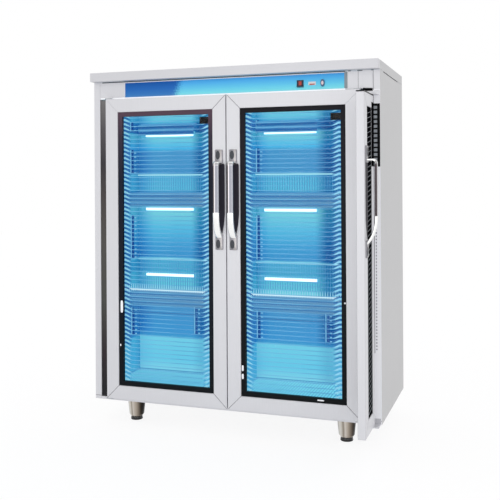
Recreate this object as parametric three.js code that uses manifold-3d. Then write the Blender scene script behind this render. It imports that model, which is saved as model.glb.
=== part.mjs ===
import * as THREE from 'three';
import { mergeVertices } from 'three/addons/utils/BufferGeometryUtils.js';
import Module from 'manifold-3d';

const wasm = await Module();
wasm.setup();

// Cabinet, in millimetres: X to the right, Y to the back, Z up
const cabinetWidth = 1200;
const cabinetDepth = 550;
const cabinetHeight = 1450;

// Fits and cuts
const fit = 0.3;
const runningGap = 0.7;
const cutOver = 5;

// Sheet metal of the carcass
const sheet = 2;
const stileWidth = 28;
const stileLip = 20;
const wallCavity = 36;

// Worktop slab
const worktop = { thickness: 36, overhang: 35 };

// Legs and foot pads
const leg = {
  height: 79.7, topRadius: 38, bottomRadius: 31, rimRadius: 25, rimHeight: 9, fromSide: 150, fromFront: 80,
  sides: 24,
};
const pad = { height: 14, radius: 25, topRadius: 23, edge: 9, studRadius: 6, studLength: 18, studGap: 0.6 };

// Base tray under the chamber, with a folded lip that shows below the doors
const base = { height: 46, lip: 11 };

// Front frame with its mullion, which the doors close on
const frame = { recess: 4, depth: 18, reveal: 42, mullion: 52, lap: 4 };

// Fascia above the doors, and the blue film on it
const fascia = { height: 69 };
const film = { left: 146, right: 131, thickness: 1, rim: 3.5 };

// Controls on the film, measured from its right end and the fascia's middle
const rocker = {
  fromEnd: 175, width: 26, height: 26, front: 5, dish: 1.5, depth: 8, tail: 18, axisDepth: 4,
  tilt: 7, tiltRoom: 1.6,
};
const lens = { fromEnd: 128, width: 29, height: 13, front: 1.5, depth: 4 };
const button = { fromEnd: 87, width: 15, height: 28, front: 5, depth: 6, play: 0.4, sides: 20 };
const controlDrop = 7;

// Chamber liner, centre partition and the ledges that carry the shelves
const chamber = { backAt: 330, roofDrop: 32 };
const ledge = { size: 8 };

// Main doors
const door = { seam: 4, thickness: 28, standoff: 2, member: 55, tubeWall: 2, pivotInset: 10 };

// Narrow side door, which stands open at the right
const leaf = {
  length: 182, thickness: 28, outerInset: 19.5, clearance: 3, leadMember: 55, hingeMember: 38,
  topMember: 55, bottomGap: 9, topDrop: 28, capHeight: 4, handleInset: 35,
};

// Glass and its black glazing seal
const glass = { thickness: 5, bite: 8 };
const seal = { width: 19, depth: 14, setBack: 4 };

// Pivot brackets and pins
const bracket = { thickness: 3, halfWidth: 14, reach: 12, behind: 20 };
const pin = { radius: 5, length: 12, holeRadius: 5.5, sides: 12 };
const arm = { thickness: 4, edge: 11, flange: 20, inset: 2 };

// Chrome bow handle, its middle placed by a share of the main doors' height
const handle = {
  length: 393, plateWidth: 31, plateHeight: 60, plateThickness: 5, width: 26, standoff: 40,
  thickness: 9, corner: 12, armOut: 5.5, bowStart: 50, bowPull: 60, middleShare: 0.6654,
};
const handleSteps = 6;

// Sensor block on the inner face of each main door's glass
const sensor = { width: 40, height: 27, depth: 12, fromSeal: 1, topDrop: 111 };

// Wire shelves and floor racks, each shelf placed by a share of the chamber's height
const shelf = {
  upperShare: 0.6458, lowerShare: 0.2664, frontAt: 44, depth: 272, side: 4, rim: 6, wire: 3, pitch: 44,
  band: 52, bandWire: 4, bandRows: 3, bandPosts: 5, crossWire: 5,
};
const rackLift = 6;

// Ultraviolet lamps on the chamber's back wall, each placed by a share of the chamber's height
const lamp = {
  length: 230, radius: 8, sides: 10, socketWidth: 14, socketHeight: 30, socketDepth: 30, fromWall: 20,
  axisOut: 18,
};
const lampShares = [0.3732, 0.627, 0.91];

// Ballast box, and cable gland near the foot of the rear panel
const ballast = { width: 220, height: 70, depth: 45, fromTop: 224 };
const gland = {
  radius: 10, flangeRadius: 16, flange: 4, nose: 9, noseRadius: 8, boreRadius: 4, inside: 10,
  fromSide: 90, fromBottom: 96, sides: 16,
};

// Places worked out from the sizes above
const halfWidth = cabinetWidth / 2;
const bodyBottom = pad.height + fit + leg.height;
const bodyTop = cabinetHeight - worktop.thickness - fit;
const stileInner = halfWidth - stileWidth;
const innerEdge = stileInner - fit;
const floorBottom = bodyBottom + base.height + fit;
const floorTop = floorBottom + sheet;
const fasciaTop = bodyTop - fit;
const fasciaBottom = fasciaTop - fascia.height;
const fasciaMiddle = (fasciaTop + fasciaBottom) / 2;
const controlHeight = fasciaMiddle - controlDrop;
const filmRight = halfWidth - film.right;
const rockerX = filmRight - rocker.fromEnd;
const lensX = filmRight - lens.fromEnd;
const buttonX = filmRight - button.fromEnd;
const frameBack = frame.recess + frame.depth;
const linerFront = frameBack + fit;
const lowBracketBottom = bodyBottom + base.lip + fit;
const lowBracketTop = lowBracketBottom + bracket.thickness;
const highBracketTop = fasciaBottom - fit;
const highBracketBottom = highBracketTop - bracket.thickness;
const frameBottom = lowBracketTop + fit;
const frameTop = highBracketBottom - fit;
const doorBottom = lowBracketTop + runningGap;
const doorTop = highBracketBottom - runningGap;
const doorHeight = doorTop - doorBottom;
const doorFree = door.seam / 2;
const doorOuter = stileInner - frame.reveal;
const doorBack = -door.standoff;
const doorFront = doorBack - door.thickness;
const chamberHalf = halfWidth - sheet - wallCavity - sheet;
const chamberTop = fasciaBottom - chamber.roofDrop;
const lowerShelfHeight = chamberLevel(shelf.lowerShare);
const upperShelfHeight = chamberLevel(shelf.upperShare);
const handleMiddle = doorBottom + handle.middleShare * doorHeight;
const ballastMiddle = bodyTop - ballast.fromTop;
const glandMiddle = bodyBottom + gland.fromBottom;
const pivotX = doorOuter - door.pivotInset;
const pivotY = (doorFront + doorBack) / 2;
const leafOuter = halfWidth - leaf.outerInset;
const leafPivotX = leafOuter - leaf.thickness / 2;
const leafBack = doorFront - leaf.clearance;
const leafPivotY = leafBack - leaf.thickness / 2;
const leafBottom = bodyBottom + leaf.bottomGap;
const leafTop = fasciaBottom - leaf.topDrop - leaf.capHeight - fit;

function chamberLevel(share) {
  return floorTop + share * (chamberTop - floorTop);
}

// Solids

function solidFrom(geometry) {
  const bare = geometry.index ? geometry.toNonIndexed() : geometry;
  bare.deleteAttribute('normal');
  bare.deleteAttribute('uv');
  const merged = mergeVertices(bare);
  const vertProperties = new Float32Array(merged.attributes.position.array);
  const triVerts = new Uint32Array(merged.index.array);
  return new wasm.Manifold(new wasm.Mesh({ numProp: 3, vertProperties, triVerts }));
}

function box(x0, x1, y0, y1, z0, z1) {
  const geometry = new THREE.BoxGeometry(1, 1, 1);
  const corners = geometry.attributes.position;
  for (let i = 0; i < corners.count; i += 1) {
    corners.setXYZ(
      i, corners.getX(i) < 0 ? x0 : x1, corners.getY(i) < 0 ? y0 : y1, corners.getZ(i) < 0 ? z0 : z1,
    );
  }
  return solidFrom(geometry);
}

function upright(radius, x, y, z0, z1, sides) {
  const geometry = new THREE.CylinderGeometry(radius, radius, z1 - z0, sides);
  geometry.rotateX(Math.PI / 2);
  geometry.translate(x, y, (z0 + z1) / 2);
  return solidFrom(geometry);
}

function bar(radius, x0, x1, y, z, sides) {
  const geometry = new THREE.CylinderGeometry(radius, radius, x1 - x0, sides);
  geometry.rotateZ(Math.PI / 2);
  geometry.translate((x0 + x1) / 2, y, z);
  return solidFrom(geometry);
}

function join(solids) {
  return solids.reduce((whole, next) => whole.add(next));
}

function cut(solid, tools) {
  return tools.reduce((rest, tool) => rest.subtract(tool), solid);
}

function meshFrom(name, solid, material) {
  const { vertProperties, triVerts } = solid.getMesh();
  const geometry = new THREE.BufferGeometry();
  geometry.setAttribute('position', new THREE.BufferAttribute(new Float32Array(vertProperties), 3));
  geometry.setIndex(new THREE.BufferAttribute(new Uint32Array(triVerts), 1));
  geometry.computeVertexNormals();
  const mesh = new THREE.Mesh(geometry, material());
  mesh.name = name;
  return mesh;
}

// Materials

function paleSteel() {
  return new THREE.MeshStandardMaterial({ color: 0xdcdce0, roughness: 0.35, metalness: 0.6 });
}

function casingSteel() {
  return new THREE.MeshStandardMaterial({ color: 0xc5c5c6, roughness: 0.4, metalness: 0.6 });
}

function chrome() {
  return new THREE.MeshStandardMaterial({ color: 0xe6e6ea, roughness: 0.08, metalness: 1 });
}

function darkGloss() {
  return new THREE.MeshStandardMaterial({ color: 0x2c2a2c, roughness: 0.15, metalness: 0.2 });
}

function blackRubber() {
  return new THREE.MeshStandardMaterial({ color: 0x161618, roughness: 0.8, metalness: 0 });
}

function clearGlass() {
  return new THREE.MeshStandardMaterial({
    color: 0xbfe6f2, roughness: 0.02, metalness: 0, transparent: true, opacity: 0.3,
  });
}

function chamberSteel() {
  return new THREE.MeshStandardMaterial({ color: 0x6fc6ea, roughness: 0.25, metalness: 0.7 });
}

function blueFilm() {
  return new THREE.MeshStandardMaterial({ color: 0x4cb9e6, roughness: 0.3, metalness: 0 });
}

function lampGlass() {
  return new THREE.MeshStandardMaterial({ color: 0xf2fbff, roughness: 0.1, metalness: 0 });
}

function redLens() {
  return new THREE.MeshStandardMaterial({ color: 0xc2322c, roughness: 0.2, metalness: 0 });
}

// Carcass

function sideCasing(side, name) {
  const back = cabinetDepth - sheet;
  const inner = halfWidth - sheet;
  const lipEnd = sheet + stileLip;
  const outline = [
    [halfWidth, 0], [halfWidth, cabinetDepth], [stileInner, cabinetDepth], [stileInner, back],
    [inner, back], [inner, sheet], [stileInner + sheet, sheet], [stileInner + sheet, lipEnd],
    [stileInner, lipEnd], [stileInner, 0],
  ];
  const shape = new THREE.Shape(outline.map(([x, y]) => new THREE.Vector2(side * x, y)));
  const geometry = new THREE.ExtrudeGeometry(shape, { depth: bodyTop - bodyBottom, bevelEnabled: false });
  geometry.translate(0, 0, bodyBottom);
  return meshFrom(name, solidFrom(geometry), casingSteel);
}

function rearPanel() {
  const hole = gland.radius + fit;
  const sheetPanel = box(
    -innerEdge, innerEdge, cabinetDepth - sheet, cabinetDepth, bodyBottom + fit, bodyTop - fit,
  );
  const tool = glandBar(hole, cabinetDepth - sheet - cutOver, cabinetDepth + cutOver);
  return meshFrom('rear_panel', cut(sheetPanel, [tool]), casingSteel);
}

function baseTray() {
  const outer = halfWidth - sheet - fit;
  const back = cabinetDepth - sheet - fit;
  const top = bodyBottom + base.height;
  const pan = box(-outer, outer, linerFront, back, bodyBottom, top);
  const hollow = box(
    sheet - outer, outer - sheet, linerFront + sheet, back - sheet, bodyBottom + sheet, top + cutOver,
  );
  return meshFrom('base_tray', cut(pan, [hollow]).add(frontLip()), casingSteel);
}

function frontLip() {
  const reach = linerFront + sheet;
  const shelfEnd = bracket.behind;
  const outline = [
    [0, 0], [reach, 0], [reach, sheet], [sheet, sheet], [sheet, base.lip - sheet],
    [shelfEnd, base.lip - sheet], [shelfEnd, base.lip], [0, base.lip],
  ];
  const shape = new THREE.Shape(outline.map(([y, z]) => new THREE.Vector2(y, z)));
  const geometry = new THREE.ExtrudeGeometry(shape, { depth: 2 * innerEdge, bevelEnabled: false });
  geometry.rotateX(Math.PI / 2);
  geometry.rotateZ(Math.PI / 2);
  geometry.translate(-innerEdge, 0, bodyBottom);
  return solidFrom(geometry);
}

function worktopSlab() {
  const bottom = cabinetHeight - worktop.thickness;
  const inner = halfWidth - sheet;
  const slab = box(-halfWidth, halfWidth, -worktop.overhang, cabinetDepth, bottom, cabinetHeight);
  const hollow = box(
    -inner, inner, sheet - worktop.overhang, cabinetDepth - sheet, bottom + sheet, cabinetHeight - sheet,
  );
  const mouth = box(-inner, inner, sheet, cabinetDepth - sheet, bottom - cutOver, cabinetHeight - sheet);
  return meshFrom('worktop', cut(slab, [hollow, mouth]), paleSteel);
}

function frontFrame() {
  const low = floorTop + frame.lap;
  const high = chamberTop - frame.lap;
  const half = frame.mullion / 2;
  const window = (x0, x1) => box(
    x0, x1, frame.recess - cutOver, frameBack + cutOver, low, high,
  );
  const plate = box(-innerEdge, innerEdge, frame.recess, frameBack, frameBottom, frameTop);
  return meshFrom('front_frame', cut(plate, [window(-doorOuter, -half), window(half, doorOuter)]), darkGloss);
}

// Control holes, each cut through both the fascia and its film

function controlHoles() {
  const front = -film.thickness - fit - cutOver;
  const back = sheet + cutOver;
  const hole = (middle, width, height) => box(
    middle - width / 2, middle + width / 2, front, back,
    controlHeight - height / 2, controlHeight + height / 2,
  );
  return [
    hole(rockerX, rocker.width + 2 * fit, rocker.height + 2 * rocker.tiltRoom),
    hole(lensX, lens.width + 2 * fit, lens.height + 2 * fit),
    ovalPrism(button.play, front, back),
  ];
}

function ovalPrism(grow, y0, y1) {
  const shape = new THREE.Shape();
  shape.absellipse(0, 0, button.width / 2 + grow, button.height / 2 + grow, 0, 2 * Math.PI, false, 0);
  const geometry = new THREE.ExtrudeGeometry(shape, {
    depth: y1 - y0, bevelEnabled: false, curveSegments: button.sides,
  });
  geometry.rotateX(Math.PI / 2);
  geometry.translate(buttonX, y1, controlHeight);
  return solidFrom(geometry);
}

function fasciaPanel() {
  const face = box(-innerEdge, innerEdge, 0, sheet, fasciaBottom, fasciaTop);
  const bottomReturn = box(-innerEdge, innerEdge, 0, frameBack, fasciaBottom, fasciaBottom + sheet);
  return meshFrom('fascia_panel', cut(face.add(bottomReturn), controlHoles()), paleSteel);
}

function controlFilm() {
  const sheetFilm = box(
    film.left - halfWidth, filmRight, -fit - film.thickness, -fit,
    fasciaBottom + film.rim, fasciaTop - film.rim,
  );
  return meshFrom('control_film', cut(sheetFilm, controlHoles()), blueFilm);
}

// Chamber

function linerFloor() {
  const outer = halfWidth - sheet - fit;
  const back = cabinetDepth - sheet - fit;
  return meshFrom('liner_floor', box(-outer, outer, linerFront, back, floorBottom, floorTop), chamberSteel);
}

function ledgeBars(x0, x1) {
  return [lowerShelfHeight, upperShelfHeight].map((height) => box(
    x0, x1, linerFront + fit, shelf.frontAt + shelf.depth, height - fit - ledge.size, height - fit,
  ));
}

function linerSide(side, name) {
  const near = side * chamberHalf;
  const far = side * (chamberHalf + sheet);
  const tip = side * (chamberHalf - ledge.size);
  const panel = box(
    Math.min(near, far), Math.max(near, far), linerFront + fit, chamber.backAt - fit,
    floorTop + fit, chamberTop - fit,
  );
  return meshFrom(name, join([panel, ...ledgeBars(Math.min(tip, far), Math.max(tip, far))]), chamberSteel);
}

function linerBack() {
  const outer = chamberHalf + sheet;
  return meshFrom('liner_back', box(
    -outer, outer, chamber.backAt, chamber.backAt + sheet, floorTop + fit, chamberTop - fit,
  ), chamberSteel);
}

function linerTop() {
  const outer = halfWidth - sheet - fit;
  return meshFrom('liner_top', box(
    -outer, outer, linerFront, chamber.backAt + sheet, chamberTop, chamberTop + sheet,
  ), chamberSteel);
}

function centrePartition() {
  const half = sheet / 2;
  const reach = half + ledge.size;
  const panel = box(
    -half, half, linerFront + fit, chamber.backAt - fit, floorTop + fit, chamberTop - fit,
  );
  return meshFrom('centre_partition', join([panel, ...ledgeBars(-reach, reach)]), chamberSteel);
}

// Wire shelves and floor racks, each between the partition and a side liner

function wireGrid(x0, x1, bottom) {
  const front = shelf.frontAt;
  const back = front + shelf.depth;
  const rim = (xa, xb, ya, yb) => box(xa, xb, ya, yb, bottom, bottom + shelf.rim);
  const solids = [
    rim(x0, x1, front, front + shelf.rim),
    rim(x0, x1, back - shelf.rim, back),
    rim(x0, x0 + shelf.rim, front, back),
    rim(x1 - shelf.rim, x1, front, back),
    rim(x0, x1, (front + back - shelf.crossWire) / 2, (front + back + shelf.crossWire) / 2),
  ];
  const count = Math.round((x1 - x0) / shelf.pitch);
  const low = bottom + shelf.rim - shelf.wire;
  for (let i = 1; i < count; i += 1) {
    const middle = x0 + (x1 - x0) * i / count;
    solids.push(box(
      middle - shelf.wire / 2, middle + shelf.wire / 2, front + shelf.wire, back - shelf.wire,
      low, low + shelf.wire + fit,
    ));
  }
  return solids;
}

function frontBand(x0, x1, bottom) {
  const solids = [];
  const y0 = shelf.frontAt;
  const y1 = y0 + shelf.bandWire;
  for (let i = 1; i <= shelf.bandRows; i += 1) {
    const top = bottom + shelf.band * i / shelf.bandRows;
    solids.push(box(x0, x1, y0, y1, top - shelf.bandWire, top));
  }
  for (let i = 0; i < shelf.bandPosts; i += 1) {
    const left = x0 + (x1 - x0 - shelf.bandWire) * i / (shelf.bandPosts - 1);
    solids.push(box(left, left + shelf.bandWire, y0, y1, bottom + shelf.wire, bottom + shelf.band));
  }
  return solids;
}

function bayEdges(side) {
  const inner = sheet / 2 + shelf.side;
  const outer = chamberHalf - shelf.side;
  return side < 0 ? [-outer, -inner] : [inner, outer];
}

function wireShelf(side, name, height) {
  const [x0, x1] = bayEdges(side);
  return meshFrom(name, join([...wireGrid(x0, x1, height), ...frontBand(x0, x1, height)]), chrome);
}

function floorRack(side, name) {
  const [x0, x1] = bayEdges(side);
  const bottom = floorTop + fit;
  const back = shelf.frontAt + shelf.depth;
  const runner = (y) => box(x0, x1, y, y + shelf.rim, bottom, bottom + rackLift + shelf.wire);
  return meshFrom(name, join([
    ...wireGrid(x0, x1, bottom + rackLift),
    runner(shelf.frontAt),
    runner(back - shelf.rim),
  ]), chrome);
}

// Ultraviolet lamps

function uvLamp(side, name, height) {
  const inner = side < 0 ? -chamberHalf + lamp.fromWall : sheet / 2 + lamp.fromWall;
  const outer = inner + lamp.length + 2 * lamp.socketWidth;
  const back = chamber.backAt - fit;
  const socket = (x) => box(
    x, x + lamp.socketWidth, back - lamp.socketDepth, back,
    height - lamp.socketHeight / 2, height + lamp.socketHeight / 2,
  );
  const overlap = lamp.socketWidth / 2;
  return meshFrom(name, join([
    socket(inner),
    socket(outer - lamp.socketWidth),
    bar(lamp.radius, inner + overlap, outer - overlap, back - lamp.axisOut, height, lamp.sides),
  ]), lampGlass);
}

// Service pieces behind the chamber

function ballastBox() {
  const back = cabinetDepth - sheet - fit;
  return meshFrom('ballast_box', box(
    -ballast.width / 2, ballast.width / 2, back - ballast.depth, back,
    ballastMiddle - ballast.height / 2, ballastMiddle + ballast.height / 2,
  ), casingSteel);
}

function glandBar(radius, y0, y1) {
  const geometry = new THREE.CylinderGeometry(radius, radius, y1 - y0, gland.sides);
  geometry.translate(halfWidth - gland.fromSide, (y0 + y1) / 2, glandMiddle);
  return solidFrom(geometry);
}

function cableGland() {
  const face = cabinetDepth + fit;
  const nose = face + gland.flange + gland.nose;
  const front = cabinetDepth - sheet - gland.inside;
  const whole = join([
    glandBar(gland.radius, front, face + fit),
    glandBar(gland.flangeRadius, face, face + gland.flange),
    glandBar(gland.noseRadius, face, nose),
  ]);
  return meshFrom('cable_gland', cut(whole, [
    glandBar(gland.boreRadius, front - cutOver, nose + cutOver),
  ]), blackRubber);
}

// Legs and foot pads

function legPlaces() {
  const x = halfWidth - leg.fromSide;
  return [
    ['front_left', -x, leg.fromFront],
    ['front_right', x, leg.fromFront],
    ['rear_left', -x, cabinetDepth - leg.fromFront],
    ['rear_right', x, cabinetDepth - leg.fromFront],
  ];
}

function turned(points) {
  const geometry = new THREE.LatheGeometry(points.map(([r, z]) => new THREE.Vector2(r, z)), leg.sides);
  geometry.rotateX(Math.PI / 2);
  return solidFrom(geometry);
}

function taperedLeg(name) {
  const bottom = pad.height + fit;
  const top = bodyBottom - fit;
  const bore = pad.studRadius + pad.studGap;
  const boreTop = pad.height + pad.studLength + fit;
  return meshFrom(name, turned([
    [0, boreTop], [bore, boreTop], [bore, bottom], [leg.rimRadius, bottom],
    [leg.bottomRadius, bottom + leg.rimHeight], [leg.topRadius, top], [0, top],
  ]), paleSteel);
}

function footPad(name) {
  const studTop = pad.height + pad.studLength;
  return meshFrom(name, turned([
    [0, 0], [pad.radius, 0], [pad.radius, pad.edge], [pad.topRadius, pad.height],
    [pad.studRadius, pad.height], [pad.studRadius, studTop], [0, studTop],
  ]), blackRubber);
}

function stand() {
  const group = new THREE.Group();
  for (const [place, x, y] of legPlaces()) {
    const corner = new THREE.Group();
    corner.position.set(x, y, 0);
    corner.add(taperedLeg(`${place}_leg`), footPad(`${place}_foot_pad`));
    group.add(corner);
  }
  return group;
}

// Glazed door: a tubular frame, a black glazing seal and the glass held in it

function tubularFrame(x0, x1, z0, z1, thickness, members, holes) {
  const wall = door.tubeWall;
  const { left, right, top, bottom } = members;
  const opening = (grow, y0, y1) => box(
    x0 + left - grow, x1 - right + grow, y0, y1, z0 + bottom - grow, z1 - top + grow,
  );
  const outer = box(x0, x1, 0, thickness, z0, z1);
  const inside = box(x0 + wall, x1 - wall, wall, thickness - wall, z0 + wall, z1 - wall);
  const ring = inside.subtract(opening(wall, -cutOver, thickness + cutOver));
  return cut(outer, [opening(0, -cutOver, thickness + cutOver), ring, ...holes]);
}

function glazing(x0, x1, z0, z1) {
  const back = seal.setBack + seal.depth;
  const paneFront = (seal.setBack + back - glass.thickness) / 2;
  const paneBack = paneFront + glass.thickness;
  const lip = seal.width - glass.bite;
  const ring = (inset, y0, y1) => box(x0 + inset, x1 - inset, y0, y1, z0 + inset, z1 - inset);
  const sealRing = cut(ring(fit, seal.setBack, back), [
    ring(seal.width, seal.setBack - cutOver, back + cutOver),
    ring(lip, paneFront - fit, paneBack + fit),
  ]);
  return { sealRing, pane: ring(lip + fit, paneFront, paneBack), paneBack };
}

function bowHandle() {
  const half = handle.length / 2;
  const armTop = half - handle.plateHeight + handle.thickness + handle.armOut;
  const out = handle.standoff;
  const inner = out - handle.thickness;
  const innerTop = armTop - handle.thickness;
  const innerCorner = handle.corner - handle.thickness / 2;
  const foot = handle.plateThickness / 2;
  const bowEnd = handle.plateHeight - half - handle.armOut;
  const shape = new THREE.Shape();
  shape.moveTo(foot, armTop);
  shape.lineTo(out - handle.corner, armTop);
  shape.quadraticCurveTo(out, armTop, out, armTop - handle.corner);
  shape.lineTo(out, -handle.bowStart);
  shape.quadraticCurveTo(out, -handle.bowStart - handle.bowPull, foot, bowEnd - handle.thickness);
  shape.lineTo(foot, bowEnd + handle.thickness);
  shape.quadraticCurveTo(inner, -handle.bowStart - handle.bowPull, inner, -handle.bowStart);
  shape.lineTo(inner, innerTop - innerCorner);
  shape.quadraticCurveTo(inner, innerTop, inner - innerCorner, innerTop);
  shape.lineTo(foot, innerTop);
  const band = new THREE.ExtrudeGeometry(shape, {
    depth: handle.width, bevelEnabled: false, curveSegments: handleSteps,
  });
  band.translate(0, 0, -handle.width / 2);
  band.rotateX(Math.PI / 2);
  band.rotateZ(-Math.PI / 2);
  const plate = (z0) => box(
    -handle.plateWidth / 2, handle.plateWidth / 2, -handle.plateThickness, 0, z0, z0 + handle.plateHeight,
  );
  return join([solidFrom(band), plate(-half), plate(half - handle.plateHeight)]);
}

function placedHandle(name, x, y) {
  const mesh = meshFrom(name, bowHandle(), chrome);
  mesh.position.set(x, y, handleMiddle);
  return mesh;
}

function mainDoor(side, label) {
  const group = new THREE.Group();
  const near = side < 0 ? -doorOuter : doorFree;
  const far = side < 0 ? -doorFree : doorOuter;
  group.position.set(side * pivotX, pivotY, 0);
  const shift = new THREE.Group();
  shift.position.set(-side * pivotX, doorFront - pivotY, 0);
  const hole = (z) => upright(
    pin.holeRadius, side * pivotX, pivotY - doorFront, z - cutOver, z + cutOver, pin.sides,
  );
  const member = door.member;
  const frameSolid = tubularFrame(
    near, far, doorBottom, doorTop, door.thickness,
    { left: member, right: member, top: member, bottom: member }, [hole(doorBottom), hole(doorTop)],
  );
  const opened = glazing(near + member, far - member, doorBottom + member, doorTop - member);
  const sensorRight = far - member - seal.width - sensor.fromSeal;
  const sensorTop = doorTop - sensor.topDrop + sensor.height;
  const sensorFront = opened.paneBack + fit;
  shift.add(
    meshFrom(`${label}_door_frame`, frameSolid, paleSteel),
    meshFrom(`${label}_door_seal`, opened.sealRing, blackRubber),
    meshFrom(`${label}_door_glass`, opened.pane, clearGlass),
    placedHandle(`${label}_door_handle`, side * (doorFree + member / 2), -fit),
    meshFrom(`${label}_door_sensor`, box(
      sensorRight - sensor.width, sensorRight, sensorFront, sensorFront + sensor.depth,
      sensorTop - sensor.height, sensorTop,
    ), blackRubber),
  );
  group.add(shift);
  return group;
}

// The side door is drawn with its outer face at local Y zero and turned a quarter to stand open

function sideDoor() {
  const group = new THREE.Group();
  group.position.set(leafPivotX, leafPivotY, 0);
  group.rotation.z = Math.PI / 2;
  const half = leaf.thickness / 2;
  const x0 = half - leaf.length;
  const x1 = half;
  const shift = new THREE.Group();
  shift.position.y = -half;
  const hole = (z) => upright(pin.holeRadius, 0, half, z - cutOver, z + cutOver, pin.sides);
  const members = {
    left: leaf.leadMember, right: leaf.hingeMember, top: leaf.topMember, bottom: leaf.topMember,
  };
  const frameSolid = tubularFrame(
    x0, x1, leafBottom, leafTop, leaf.thickness, members, [hole(leafBottom), hole(leafTop)],
  );
  const opened = glazing(
    x0 + members.left, x1 - members.right, leafBottom + members.bottom, leafTop - members.top,
  );
  const cap = box(x0, x1, 0, leaf.thickness, leafTop + fit, leafTop + fit + leaf.capHeight);
  shift.add(
    meshFrom('side_door_frame', frameSolid, paleSteel),
    meshFrom('side_door_seal', opened.sealRing, blackRubber),
    meshFrom('side_door_glass', opened.pane, clearGlass),
    meshFrom('side_door_cap', cut(cap, [hole(leafTop)]), blackRubber),
    placedHandle('side_door_handle', x0 + leaf.handleInset, -fit),
  );
  group.add(shift);
  return group;
}

// Pivot brackets

function doorBracket(side, name, high) {
  const z0 = high ? highBracketBottom : lowBracketBottom;
  const z1 = z0 + bracket.thickness;
  const pinLow = high ? z0 - pin.length : z1 - bracket.thickness / 2;
  const pinHigh = high ? z0 + bracket.thickness / 2 : z1 + pin.length;
  const x = side * pivotX;
  const plate = box(
    x - bracket.halfWidth, x + bracket.halfWidth, pivotY - bracket.reach, bracket.behind, z0, z1,
  );
  const post = upright(pin.radius, x, pivotY, pinLow, pinHigh, pin.sides);
  return meshFrom(name, plate.add(post), casingSteel);
}

function leafArm(name, high) {
  const z0 = high ? leafTop + fit + leaf.capHeight + runningGap : leafBottom - runningGap - arm.thickness;
  const z1 = z0 + arm.thickness;
  const pinLow = high ? z0 - pin.length : z1 - arm.thickness / 2;
  const pinHigh = high ? z0 + arm.thickness / 2 : z1 + pin.length;
  const right = halfWidth - arm.inset;
  const plate = box(leafPivotX - arm.edge, right, leafPivotY - arm.edge, -fit, z0, z1);
  const flange = box(stileInner + arm.inset, right, -fit - arm.thickness, -fit, z0, z0 + arm.flange);
  const post = upright(pin.radius, leafPivotX, leafPivotY, pinLow, pinHigh, pin.sides);
  return meshFrom(name, join([plate, flange, post]), casingSteel);
}

// Controls

function powerRocker() {
  const half = rocker.height / 2;
  const shape = new THREE.Shape();
  shape.moveTo(-rocker.front, half);
  shape.lineTo(rocker.dish - rocker.front, 0);
  shape.lineTo(-rocker.front, -half);
  shape.lineTo(rocker.depth, -rocker.tail / 2);
  shape.lineTo(rocker.depth, rocker.tail / 2);
  const geometry = new THREE.ExtrudeGeometry(shape, { depth: rocker.width, bevelEnabled: false });
  geometry.translate(-rocker.axisDepth, 0, -rocker.width / 2);
  geometry.rotateX(Math.PI / 2);
  geometry.rotateZ(Math.PI / 2);
  const mesh = meshFrom('power_rocker', solidFrom(geometry), redLens);
  mesh.position.set(rockerX, rocker.axisDepth, controlHeight);
  mesh.rotation.x = THREE.MathUtils.degToRad(-rocker.tilt);
  return mesh;
}

function indicatorLens() {
  return meshFrom('indicator_lens', box(
    lensX - lens.width / 2, lensX + lens.width / 2,
    -fit - film.thickness - lens.front, lens.depth,
    controlHeight - lens.height / 2, controlHeight + lens.height / 2,
  ), redLens);
}

function lampButton() {
  return meshFrom('lamp_button', ovalPrism(0, -fit - film.thickness - button.front, button.depth), redLens);
}

// Assembly: the whole cabinet is moved so that zero is under the middle of its overall box

const cabinet = new THREE.Group();
cabinet.add(
  sideCasing(-1, 'left_side_casing'),
  sideCasing(1, 'right_side_casing'),
  rearPanel(),
  baseTray(),
  worktopSlab(),
  frontFrame(),
  fasciaPanel(),
  controlFilm(),
  linerFloor(),
  linerSide(-1, 'liner_left'),
  linerSide(1, 'liner_right'),
  linerBack(),
  linerTop(),
  centrePartition(),
  ballastBox(),
  cableGland(),
  stand(),
  mainDoor(-1, 'left'),
  mainDoor(1, 'right'),
  sideDoor(),
  leafArm('side_top_pivot', true),
  leafArm('side_bottom_pivot', false),
  powerRocker(),
  indicatorLens(),
  lampButton(),
);

for (const [side, label] of [[-1, 'left'], [1, 'right']]) {
  cabinet.add(
    wireShelf(side, `${label}_upper_shelf`, upperShelfHeight),
    wireShelf(side, `${label}_lower_shelf`, lowerShelfHeight),
    floorRack(side, `${label}_floor_rack`),
    doorBracket(side, `${label}_top_pivot`, true),
    doorBracket(side, `${label}_bottom_pivot`, false),
  );
  lampShares.forEach((share, i) => {
    cabinet.add(uvLamp(side, `${label}_lamp_${i + 1}`, chamberLevel(share)));
  });
}

const rightmost = leafOuter + fit + handle.standoff;
const frontmost = leafBack - leaf.length;
const rearmost = cabinetDepth + fit + gland.flange + gland.nose;
cabinet.position.set((halfWidth - rightmost) / 2, -(frontmost + rearmost) / 2, 0);

const group = new THREE.Group();
group.add(cabinet);

export default group;
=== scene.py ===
import math

import bmesh
import bpy
from mathutils import Matrix, Vector


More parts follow.
